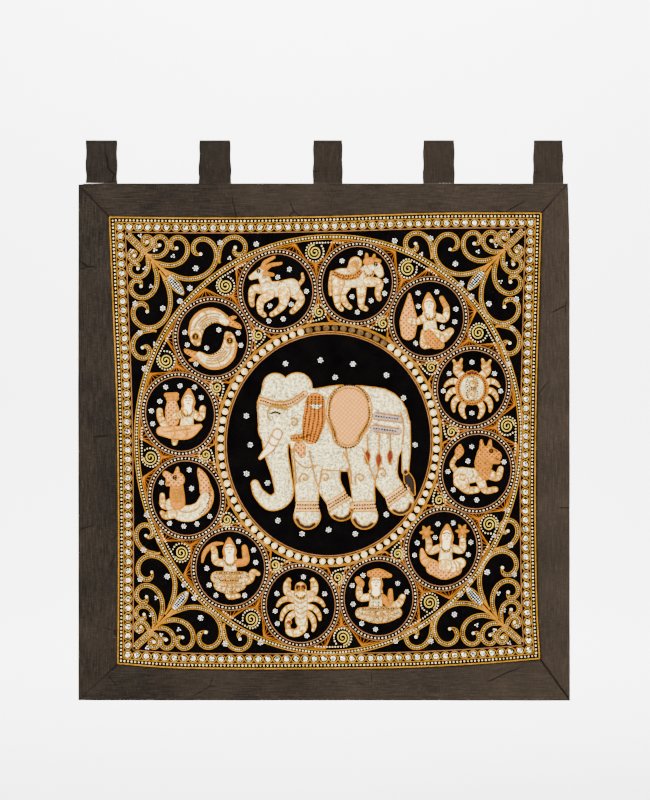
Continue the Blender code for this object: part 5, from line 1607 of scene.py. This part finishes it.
# %% [markdown]
# ## Stitching on the figures
# Lines, rows of dark beads and curls are laid out from the limbs themselves: across the joints,
# along the middles and round the rims.

# %% What is sewn on a figure
Line = namedtuple("Line", "finish rows")
Dots = namedtuple("Dots", "finish rows")
Curl = namedtuple("Curl", "finish x z radius turns start")
Face = namedtuple("Face", "x z size")
Pad = namedtuple("Pad", "rim rise reach crinkle")
SEWN_CLOTHS = {"cream": (0.36, 0.62, 0.86), "peach": (0.3, 0.6), "orange": (0.5,)}


def outline_of(rows):
    """A stroke's outline in order round it."""
    along = np.gradient(rows[:, :2], axis=0)
    along /= np.linalg.norm(along, axis=1)[:, None]
    normal = np.stack([-along[:, 1], along[:, 0]], axis=1)
    width = rows[:, 2:3]
    turns = np.linspace(0, math.pi, 12)[1:-1, None]
    far = rows[-1, :2] + rows[-1, 2] * (normal[-1] * np.cos(turns) + along[-1] * np.sin(turns))
    near = rows[0, :2] - rows[0, 2] * (normal[0] * np.cos(turns) + along[0] * np.sin(turns))
    return np.vstack([rows[:, :2] + normal * width, far, (rows[:, :2] - normal * width)[::-1], near])


def across(rows, share, reach=0.8):
    """A short line across a stroke at a share of its length, bowed a little forward."""
    curve = smooth(rows, 8)
    i = min(int(share * (len(curve) - 1)), len(curve) - 2)
    ahead = curve[i + 1, :2] - curve[i, :2]
    ahead /= np.linalg.norm(ahead) + 1e-9
    side = np.array((-ahead[1], ahead[0])) * curve[i, 2] * reach
    middle = curve[i, :2]
    return [tuple(middle + side), tuple(middle + ahead * 0.25 * curve[i, 2]), tuple(middle - side)]


def beside(rows, share, low=0.0, high=1.0):
    """A line along a stroke, off its middle by a share of the half width."""
    curve = smooth(rows, 8)
    curve = curve[int(low * (len(curve) - 1)):int(high * (len(curve) - 1)) + 1]
    ahead = np.gradient(curve[:, :2], axis=0)
    ahead /= np.linalg.norm(ahead, axis=1)[:, None]
    side = np.stack([-ahead[:, 1], ahead[:, 0]], axis=1)
    return [tuple(row) for row in curve[:, :2] + side * curve[:, 2:] * share]


def around(x, z, radius, count=16):
    turns = np.linspace(0, 2 * math.pi, count + 1)
    return [(x + radius * math.cos(turn), z + radius * math.sin(turn)) for turn in turns]


def limb_stitching(patches):
    """Cuffs across every limb, and two beaded bands and pleats on a patterned skirt."""
    sewn = []
    for one in patches:
        for rows in one.strokes:
            sewn += [Line("orange", across(rows, share)) for share in SEWN_CLOTHS.get(one.cloth, ())]
            if one.cloth == "patterned":
                sewn += [Line("orange", beside(rows, share, 0.04, 0.96)) for share in (0.55, -0.1)]
                sewn += [Dots("brown_bead", beside(rows, 0.75, 0.06, 0.94))]
                sewn += [Line("orange", across(rows, share, 0.9)) for share in (0.3, 0.5, 0.7)]
            if one.cloth == "face" and rows is one.strokes[-1]:
                x, z, _ = np.mean(rows[1:], axis=0)
                sewn.append(Face(x, z, 0.14))
    return sewn


def eye(x, z, radius=0.026):
    return [Dots("dark_bead", [(x - radius, z), (x + radius, z)]),
            Line("dark", around(x, z, radius * 2.0, 8))]


def hooves(patches):
    """A dark slit at the end of every leg."""
    legs = [one.strokes[0] for one in patches if one.cloth == "cream" and one.strokes[0][-1][2] > 0.055]
    return [Line("dark", beside(rows, 0.0, 0.88, 1.0)) for rows in legs]


def collar(x, z, width=0.16, drop=0.12):
    """A beaded collar hung under a chin."""
    rows = [(x - width, z), (x - width * 0.6, z - drop * 0.8), (x, z - drop),
            (x + width * 0.6, z - drop * 0.8), (x + width, z)]
    beaded, lower = ([(side, up - fall) for side, up in rows] for fall in (0.03, 0.05))
    return [Line("orange", rows), Dots("brown_bead", beaded), Line("gold", lower)]


GARLAND = limb((-0.68, 0.28, 0.07), (-20, 0.30, 0.075), (4, 0.34, 0.075), (40, 0.20, 0.06))
TRIM = {
    "bull": [patch("dotted_orange", GARLAND)],
    "crab": [patch("red", disc(-0.10, 0.39, 0.05), disc(0, 0.42, 0.05), disc(0.10, 0.39, 0.05))],
    "lion": [patch("red", limb((0.56, 0.35, 0.035), (-14, 0.08, 0.03))),
             patch("red", limb((0.50, 0.60, 0.02), (-30, 0.10, 0.03)))],
    "scorpion": [patch("red", disc(-0.08, 0.50, 0.065), disc(0.08, 0.50, 0.065)),
                 patch("red", disc(-0.34, -0.46, 0.06))],
    "sea_beast": [patch("red", limb((-0.50, 0.42, 0.03), (190, 0.08, 0.025)))],
    "fish": [patch("orange", disc(-0.50, 0.05, 0.085))],
}


def arcs(finish, middle, radii, start, sweep, count=6):
    """Lines or rows of beads along parts of circles round one middle."""
    kind = Dots if finish.endswith("bead") else Line
    return [kind(finish, arc(middle, radius, start, sweep, [0] * count)) for radius in radii]


def chevrons(finish, middle, top, dip, count, pitch):
    """Sagging lines one below another, from the height of their ends and of their middle."""
    x, half = middle
    return [Line(finish, [(x - half, top - pitch * k), (x, dip - pitch * k), (x + half, top - pitch * k)])
            for k in range(count)]


def beast_stitching():
    """Eyes, garlands and curls of the animals, in shares of the roundel's radius."""
    fish_middle, beast_middle = (0.02, 0.08), (0.02, 0.12)
    mane = [0.2 + 0.1 * k for k in range(4)]
    return {
        "goat": [*eye(-0.56, 0.54), Curl("gold", -0.40, 0.40, 0.07, 1.0, 0),
                 Line("orange", around(0.12, 0.14, 0.12, 8)[1:5]),
                 Line("orange", [(-0.44, 0.20), (-0.30, 0.26), (-0.18, 0.20)])],
        "bull": [*eye(0.54, 0.52), Curl("orange", -0.08, 0.56, 0.13, 1.6, 200), *collar(0.34, 0.36, 0.14),
                 *[Dots("brown_bead", beside(GARLAND, share, 0.02, 0.98)) for share in (-0.45, 0.45)]],
        "lion": [*eye(0.42, 0.56), Curl("gold", -0.42, -0.12, 0.13, 0.8, 20),
                 Line("orange", [(-0.2, -0.2), (-0.1, -0.1), (-0.14, 0.04)]),
                 *arcs("orange", (0.24, 0.46), mane, 215, 90)],
        "crab": [Line("orange", around(0, -0.02, 0.36)), Dots("brown_bead", around(0, -0.02, 0.41, 24)),
                 Curl("orange", 0.0, 0.12, 0.14, 1.4, -90), Curl("orange", 0.0, -0.17, 0.14, 1.4, 90),
                 Dots("brown_bead", around(0, 0.12, 0.17)), Dots("brown_bead", around(0, -0.17, 0.17)),
                 Dots("brown_bead", [(-0.06, 0.36), (-0.05, 0.36)]),
                 Dots("brown_bead", [(0.06, 0.36), (0.07, 0.36)])],
        "scorpion": [*eye(-0.07, 0.46), *eye(0.07, 0.46), *collar(0, 0.30, 0.12, 0.08),
                     *chevrons("orange", (0, 0.16), 0.14, 0.06, 4, 0.14)],
        "fish": [*arcs("orange", fish_middle, [0.60], 160, -90, 8),
                 *arcs("brown_bead", fish_middle, [0.35], 150, -100, 8),
                 *arcs("orange", fish_middle, [0.40], 160, -112, 8),
                 Line("gold", around(-0.50, 0.06, 0.10, 12)), *eye(-0.50, 0.05, 0.032),
                 *arcs("orange", fish_middle, [0.46 + 0.06 * k for k in range(2)], 150, -80)],
        "sea_beast": [*eye(-0.34, 0.56), *arcs("brown_bead", beast_middle, [0.66], -56, 70, 8),
                      *arcs("orange", beast_middle, [0.50], 240, 80),
                      *chevrons("gold", (-0.28, 0.14), 0.28, 0.22, 5, 0.08)],
        "maiden_with_sheaf": collar(0.04, 0.12),
        "maiden_with_flowers": collar(0.10, 0.08, 0.14),
        "archer": collar(0.0, 0.24),
        "seated": [*collar(-0.08, 0.16),
                   *[Dots("brown_bead", [(x, -0.18), (x, 0.06)]) for x in (-0.16, 0.0)]],
        "water_bearer": [*collar(0.22, 0.10), Line("gold", [(-0.42, -0.48), (-0.1, -0.44), (0.3, -0.40)])],
    }


# %% The elephant's cloths and stitching, in shares of the disc's radius
LACE = 0.030
ELEPHANT_EYE = (-0.52, 0.28)


def widened(rows, more):
    return [(x, z, half_width + more) for x, z, half_width in rows]


def anklet(rows, share):
    """A band of beige cloth straight across a leg, a little wider than the leg."""
    line = np.array(across(rows, share, 1.0))
    return [(*line[0], LACE), (*line[0::2].mean(axis=0), LACE), (*line[2], LACE)]


def nail_arc(rows, count=4):
    """Toenails spread along the front of a foot's sole."""
    x, z, radius = rows[-1]
    ahead = math.degrees(math.atan2(z - rows[-2][1], x - rows[-2][0]))
    nails = []
    for turn in np.radians(np.linspace(ahead - 62, ahead + 34, count)):
        spot = (x + 0.80 * radius * math.cos(turn), z + 0.80 * radius * math.sin(turn))
        slide = (0.018 * -math.sin(turn), 0.018 * math.cos(turn))
        nails.append([(spot[0] + way * slide[0], spot[1] + way * slide[1], 0.017) for way in (-1, 1)])
    return nails


HEADBAND = limb((-0.66, 0.40, LACE), (-14, 0.16, LACE), (6, 0.14, LACE), (32, 0.16, 0.026))
COLLAR = limb((-0.34, 0.06, 0.030), (6, 0.10, 0.034), (24, 0.08, 0.030))
ANKLETS = [anklet(rows, share) for rows in ELEPHANT_LEGS.values() for share in (0.72, 0.82)]
NAILS = [nail for rows in ELEPHANT_LEGS.values() for nail in nail_arc(rows)]
ELEPHANT_CLOTHS = (
    patch("beige", *ANKLETS),
    patch("beige", HEADBAND),
    patch("dotted_peach", limb((-0.28, -0.02, 0.055), (-72, 0.07, 0.03))),
    patch("dotted_orange", COLLAR),
    patch("lilac", STRAPS[0]),
    patch("lilac", STRAPS[1]),
    patch("beige", widened(SADDLE, 0.032)),
    patch("lattice", SADDLE),
    patch("neck", NECK_CLOTH),
    patch("ivory", limb((-0.18, 0.36, 0.010), (-18, 0.06, 0.026), (16, 0.06, 0.010))),
    patch("red", *TASSELS),
    patch("dark", *NAILS),
)


def elephant_stitching():
    wide = widened(SADDLE, 0.016)
    hem = [tuple(spot) for spot in outline_of(smooth(wide, 8))[:, :2]]
    sewn = [Dots("dark_bead", hem), Dots("dark_bead", beside(HEADBAND, 0.0, 0.02, 0.98)),
            Dots("dark_bead", beside(COLLAR, 0))]
    sewn += [Dots("dark_bead", beside(rows, 0, 0.03, 0.97)) for rows in (*STRAPS, *ANKLETS)]
    bones = ((-92, 0.08, 0.09), (-95, 0.14, 0.105), (-102, 0.14, 0.09), (-104, 0.06, 0.07))
    longer = limb((-0.13, 0.44, 0.09), *bones)
    sewn += [Dots("dark_bead", beside(longer, 0.40 * k, 0.06, 0.94)) for k in range(-2, 3)]
    sewn += [Line("orange", [(rows[0][0], STRAPS[1][0][1] - 0.05), (rows[0][0], rows[0][1])])
             for rows in TASSELS]
    for rows in ELEPHANT_LEGS.values():
        x, z, half_width = rows[1]
        sewn.append(Curl("orange", x - 0.2 * half_width, z + 0.02, 0.055, 1.2, 150))
        sewn.append(Line("orange", beside(rows, -0.9, 0.0, 0.4)))
    sewn += [Line("orange", [(0.70, 0.30), (0.73, 0.16), (0.72, 0.00)]),
             Line("orange", [(-0.36, -0.10), (-0.24, -0.20), (-0.10, -0.18)]),
             Line("orange", [(0.14, -0.06), (0.20, -0.18), (0.22, -0.32)])]
    x, z = ELEPHANT_EYE
    sewn += [Line("dark", [(x - 0.05, z), (x, z + 0.015), (x + 0.05, z)]),
             Line("gold", around(x, z, 0.075, 12)[1:9]),
             Line("gold", [(x - 0.07, z + 0.06), (x, z + 0.085), (x + 0.08, z + 0.05)]),
             Curl("gold", x + 0.18, z - 0.08, 0.045, 1.2, 60),
             Curl("gold", x + 0.09, z + 0.05, 0.04, 1.0, 180)]
    tusk = [(-0.50, 0.10, 0.045), (-0.57, -0.02, 0.04)]
    sewn += [Line("orange", across(tusk, share, 1.0)) for share in (0.35, 0.75)]
    return sewn


# %% The padded surface over a stack of patches
STROKE_STEPS = 12
FIGURE_CELL, ELEPHANT_CELL = 0.0014, 0.0016
FIGURE_PADDING = Pad(0.0012, 0.0048, 0.012, 0.00045)
ELEPHANT_PADDING = Pad(0.0014, 0.0085, 0.026, 0.0008)
VALLEY = 0.55
NO_CLOTHS, FAR_UP = 10 ** 6, 10.0
FIGURE_STITCH, FIGURE_DOT = 0.0011, 0.0015
ELEPHANT_STITCH, ELEPHANT_DOT = 0.00150, 0.0018


def depth_in(flat, discs):
    """The depth of each point in the union of the discs."""
    return (discs[None, :, 2] - np.linalg.norm(flat[:, None] - discs[None, :, :2], axis=2)).max(axis=1)


def quarter_round(depth, reach):
    return np.sqrt(1 - (1 - np.clip(depth / reach, 0, 1)) ** 2)


class Relief:
    """Patches placed on the panel, with the height of the padding at any point."""

    def __init__(self, patches, place, unit, padding, turn=1.0):
        self.patches, self.padding, self.place, self.unit, self.turn = patches, padding, place, unit, turn
        self.mean = math.sqrt(unit[0] * unit[1])
        self.first_cloth, self.cloth_lift, self.plain_above = NO_CLOTHS, 0.0, FAR_UP
        self.stitch, self.dot = FIGURE_STITCH, FIGURE_DOT
        self.strokes = [[self.placed(smooth(stroke, STROKE_STEPS)) for stroke in one.strokes]
                        for one in patches]
        self.discs = [np.vstack(rows) for rows in self.strokes]

    def placed(self, rows):
        rows = np.atleast_2d(rows)
        flat = self.place + self.turn * rows[:, :2] * self.unit
        return np.hstack([flat, rows[:, 2:] * self.mean])

    def depths(self, flat):
        """How deep each point lies in each patch; below zero is outside. Cloths end at the body's edge."""
        depths = np.array([depth_in(flat, discs) for discs in self.discs])
        if self.first_cloth < len(depths):
            body = depths[:self.first_cloth].max(axis=0)
            depths[self.first_cloth:] = np.minimum(depths[self.first_cloth:], body + 0.0003)
        return depths

    def read(self, flat):
        """The top patch, the distance to the nearest seam, and the depth in the whole figure."""
        depths = self.depths(flat)
        owner = np.zeros(len(flat), int)
        seam = depths[0].copy()
        for number in range(1, len(depths)):
            on_top = depths[number] > 0
            owner[on_top] = number
            seam = np.where(on_top, depths[number], np.minimum(seam, -depths[number]))
            hidden = ~on_top & (depths[:number].max(axis=0) <= 0)
            seam[hidden] = -1
        return owner, seam, depths.max(axis=0)

    def height(self, flat):
        """Padding swells inside each patch and dips along every seam."""
        owner, seam, whole = self.read(flat)
        pad = self.padding
        full = pad.rise * quarter_round(whole, pad.reach)
        local = quarter_round(np.clip(seam, 0, None) * 2.2, pad.reach)
        plain = np.clip((flat[:, 1] - self.plain_above) / 0.02, 0, 1) * (owner < self.first_cloth)
        local = np.maximum(local, plain)
        crinkle = np.array([noise.fractal(Vector((x * 130, 0, z * 130)), 1.0, 2.1, 3) for x, z in flat])
        height = pad.rim + full * (VALLEY + (1 - VALLEY) * local) + pad.crinkle * crinkle * local
        return height + self.cloth_lift * (owner >= self.first_cloth) * (seam > 0)

    def on_top(self, flat, lift=0.0):
        """Points in space just above the padding."""
        return lifted(flat, SEAT_GAP + self.height(flat) + lift)


# %% Cords over the seams of the patches
SEAM_STEP = 0.0022


def runs(keep):
    """The unbroken runs of True round a closed row, as lists of indices."""
    if keep.all():
        return [list(range(len(keep))) + [0]]
    start = int(np.argmin(keep))
    found, current = [], []
    for step in range(1, len(keep) + 1):
        i = (start + step) % len(keep)
        if keep[i]:
            current.append(i)
        elif current:
            found.append(current)
            current = []
    if current:
        found.append(current)
    return found


def seam_cords(relief, basket, thick):
    """Couches cord along each patch's outline wherever it is on top."""
    for number in range(len(relief.patches)):
        for mine, rows in enumerate(relief.strokes[number]):
            outline = outline_of(rows)
            count = max(24, round(path_length(outline) / SEAM_STEP))
            outline = resampled(np.vstack([outline, outline[:1]]), count)[:-1]
            keep = np.ones(len(outline), bool)
            others = [row for i, row in enumerate(relief.strokes[number]) if i != mine]
            later = [discs for one, discs in zip(relief.patches[number + 1:], relief.discs[number + 1:])
                     if one.cloth != "dark"]
            for discs in [*others, *later]:
                keep &= depth_in(outline, discs) < 0.0003
            if number < relief.first_cloth < len(relief.patches):
                inner = np.zeros(len(outline), bool)
                for discs in relief.discs[:number]:
                    inner |= depth_in(outline, discs) > 0.0005
                silver = relief.patches[number].cloth == "silver"
                keep &= ~(inner & (outline[:, 1] > relief.plain_above) & silver)
            elif number >= relief.first_cloth:
                body = [depth_in(outline, discs) for discs in relief.discs[:relief.first_cloth]]
                keep &= np.max(body, axis=0) > 0
            for run in runs(keep):
                if len(run) > 3:
                    basket.add(relief.on_top(outline[run], thick * 0.9), thick)


# %% The padded mesh itself
RIM_SHARE = 0.25


def relief_mesh(name, relief, cell):
    """A closed padded piece: a fine grid over the figure, its rim snapped to the outline."""
    discs = np.vstack(relief.discs[:relief.first_cloth])
    low = (discs[:, :2] - discs[:, 2:]).min(axis=0) - cell
    high = (discs[:, :2] + discs[:, 2:]).max(axis=0) + cell
    xs, zs = np.arange(low[0], high[0], cell), np.arange(low[1], high[1], cell)
    gx, gz = np.meshgrid(xs, zs)
    flat = np.stack([gx.ravel(), gz.ravel()], axis=1)
    apart = np.concatenate([np.linalg.norm(part[:, None] - discs[None, :, :2], axis=2) - discs[None, :, 2]
                            for part in np.array_split(flat, 8)])
    nearest = apart.argmin(axis=1)
    outside = apart.min(axis=1)
    corner = grid_faces(len(zs), len(xs))
    faces = np.vstack([corner[:, [0, 1, 2]], corner[:, [0, 2, 3]]])
    faces = faces[(outside[faces] < -RIM_SHARE * cell).any(axis=1)]
    middle = discs[nearest, :2]
    toward = flat - middle
    toward /= np.linalg.norm(toward, axis=1)[:, None] + 1e-12
    snap = outside > -RIM_SHARE * cell
    flat = np.where(snap[:, None], middle + toward * discs[nearest, 2:], flat)
    used = np.unique(faces)
    number = np.full(len(flat), -1)
    number[used] = np.arange(len(used))
    faces, flat = number[faces], flat[used]
    edges = {(a, b) for f in faces.tolist() for a, b in zip(f, f[1:] + f[:1])}
    rim = [(a, b) for a, b in edges if (b, a) not in edges]
    height = relief.height(flat)
    count = len(flat)
    points = np.vstack([lifted(flat, SEAT_GAP + height), lifted(flat, SEAT_GAP + 0 * height)])
    sides = [(b, a, a + count, b + count) for a, b in rim]
    made = add_mesh(name, points, [*faces.tolist(), *(faces[:, ::-1] + count).tolist(), *sides])
    centres = flat[faces].mean(axis=1)
    owner = relief.read(centres)[0]
    cloths = sorted({one.cloth for one in relief.patches})
    for cloth in cloths:
        made.data.materials.append(CLOTH[cloth])
    index = np.array([cloths.index(one.cloth) for one in relief.patches])[owner]
    index = np.concatenate([index, index, np.zeros(len(rim), int)]).astype(np.int32)
    made.data.polygons.foreach_set("material_index", index)
    made.data.shade_smooth()
    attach(made, BODY)
    return made


# %% Extra stitching: lines, rows of dots, curls and faces
LINE_STEP, DOT_STEP, FACE_STEP = 0.002, 0.0015, 0.0015


def on_figure(relief, flat):
    """The part of a path that lies on the figure."""
    return flat[relief.depths(flat).max(axis=0) > 0]


def put_extras(relief, extras, threads, dots):
    for extra in extras:
        if isinstance(extra, (Line, Dots)):
            baskets, thick, least, step = ((threads, relief.stitch, 6, LINE_STEP)
                                           if isinstance(extra, Line) else (dots, relief.dot, 3, DOT_STEP))
            path = smooth([(row[0], row[1]) for row in extra.rows], 8)
            flat = relief.place + relief.turn * path * relief.unit
            flat = on_figure(relief, resampled(flat, max(least, round(path_length(flat) / step))))
            if len(flat) > 2:
                baskets[extra.finish].add(relief.on_top(flat, thick * 0.8), thick)
        elif isinstance(extra, Curl):
            share = np.linspace(0, 1, round(extra.turns * 20))
            angle = np.radians(extra.start) + 2 * math.pi * extra.turns * share
            radius = extra.radius * (0.12 + 0.88 * share)
            rows = np.stack([extra.x + radius * np.cos(angle), extra.z + radius * np.sin(angle)], axis=1)
            flat = relief.place + relief.turn * rows * relief.unit
            threads[extra.finish].add(relief.on_top(flat, relief.stitch * 0.8), relief.stitch)
        else:
            put_face(relief, extra, threads)


def put_face(relief, face, threads):
    """Two brows, two eyes, a nose and a mouth in fine thread, the same on every figure."""

    def strokes(rows, finish, thick):
        flat = np.array((face.x, face.z)) + np.array(rows) * face.size
        flat = relief.place + relief.turn * smooth(flat, 5) * relief.unit
        flat = resampled(flat, max(4, round(path_length(flat) / FACE_STEP)))
        threads[finish].add(relief.on_top(flat, thick * 0.8), thick)

    for side in (-1, 1):
        strokes([(side * 0.20, 0.42), (side * 0.46, 0.54), (side * 0.78, 0.40)], "dark", 0.0005)
        strokes([(side * 0.28, 0.10), (side * 0.62, 0.10)], "dark", 0.0008)
    strokes([(0.05, 0.22), (0.10, -0.12), (-0.08, -0.18)], "gold", 0.0005)
    strokes([(-0.24, -0.50), (0.24, -0.50)], "red", 0.0009)


# %% Put the figures on the panel
FIGURE_SIZE = np.array((FIGURE_UNIT * HALF_WIDTH, FIGURE_UNIT * HALF_HEIGHT))
DISC_SIZE = np.array((DISC_RADIUS * HALF_WIDTH, DISC_RADIUS * HALF_HEIGHT))
FLOWER_LIMIT = 0.92
DISC_ROOM = (0.03, 0.16)
DOT_PITCH = 0.0046
CLOTH_LIFT, FILL = 0.0010, 0.7


def flower_places(relief, most=7, room_each=(0.085, 0.24)):
    """Open places in a roundel or the disc, the roomiest first, for sequin flowers."""
    grid = np.meshgrid(np.linspace(0.3, FLOWER_LIMIT, 9), np.radians(np.arange(0, 360, 6)))
    reach, turn = (side.ravel() for side in grid)
    flat = relief.place + np.stack([reach * np.cos(turn), reach * np.sin(turn)], axis=1) * relief.unit
    room = np.minimum(-relief.depths(flat).max(axis=0) / relief.mean, 0.95 - reach)
    chosen = []
    while len(chosen) < most and room.max() > room_each[0]:
        best = int(room.argmax())
        chosen.append(flat[best])
        room = np.minimum(room, np.linalg.norm(flat - flat[best], axis=1) / relief.mean - room_each[1])
    return chosen


def make_figures():
    threads = {finish: Basket() for finish in ("orange", "gold", "dark", "red")}
    dots = {finish: Basket() for finish in ("brown_bead", "bead", "dark_bead")}
    flowers = Basket()
    own = beast_stitching()
    for k, (name, patches) in enumerate(FIGURES.items()):
        extras = limb_stitching(patches) + own.get(name, [])
        if name in ("goat", "bull"):
            extras += hooves(patches)
        patches = patches + TRIM.get(name, [])
        place = on_panel(roundel_middle(k))[0]
        parts = [(name, 1.0)] if name != "fish" else [("fish_upper", 1.0), ("fish_lower", -1.0)]
        reliefs = []
        for part, turn in parts:
            relief = Relief(patches, place, FIGURE_SIZE, FIGURE_PADDING, turn)
            made = relief_mesh("padded_" + part, relief, FIGURE_CELL)
            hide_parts("figure_" + part)
            seam_cords(relief, threads["orange"], 0.0008)
            put_extras(relief, extras, threads, dots)
            reliefs.append(relief)
        if name == "fish":
            reliefs[0].discs = reliefs[0].discs + reliefs[1].discs
        for spot in flower_places(reliefs[0]):
            flowers.spots(lifted(flower_spots(spot, 6, 0.0034), 0.0012), 0.00135)
    return threads, dots, flowers


def make_elephant(threads, dots, flowers):
    place = on_panel(CENTRE)[0]
    relief = Relief(ELEPHANT_BODY + ELEPHANT_CLOTHS, place, DISC_SIZE, ELEPHANT_PADDING)
    relief.first_cloth, relief.cloth_lift = len(ELEPHANT_BODY), CLOTH_LIFT
    relief.plain_above = place[1] - 0.20 * DISC_SIZE[1]
    relief.stitch, relief.dot = ELEPHANT_STITCH, ELEPHANT_DOT
    made = relief_mesh("padded_elephant", relief, ELEPHANT_CELL)
    tassels = [f"elephant_tassel_{number}" for number in (1, 2, 3)]
    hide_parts("elephant_body", "elephant_saddle_cloth", "elephant_neck_cloth", "elephant_upper_strap",
                "elephant_lower_strap", *tassels)
    seam_cords(relief, threads["orange"], 0.0012)
    put_extras(relief, elephant_stitching(), threads, dots)
    for spot in flower_places(relief, 24, DISC_ROOM):
        flowers.spots(lifted(flower_spots(spot), 0.0012), PETAL)


threads, dots, flowers = make_figures()
make_elephant(threads, dots, flowers)
for finish, basket in threads.items():
    if basket.points:
        cords("stitching_" + finish, basket, finish)
for finish, basket in dots.items():
    if basket.points:
        beads("dots_" + finish, basket, DOT_PITCH, finish)
sequins("roundel_flowers", flowers, tilt=0.22, facets=8)
print("stitching points:", {finish: len(basket.points) for finish, basket in threads.items()})
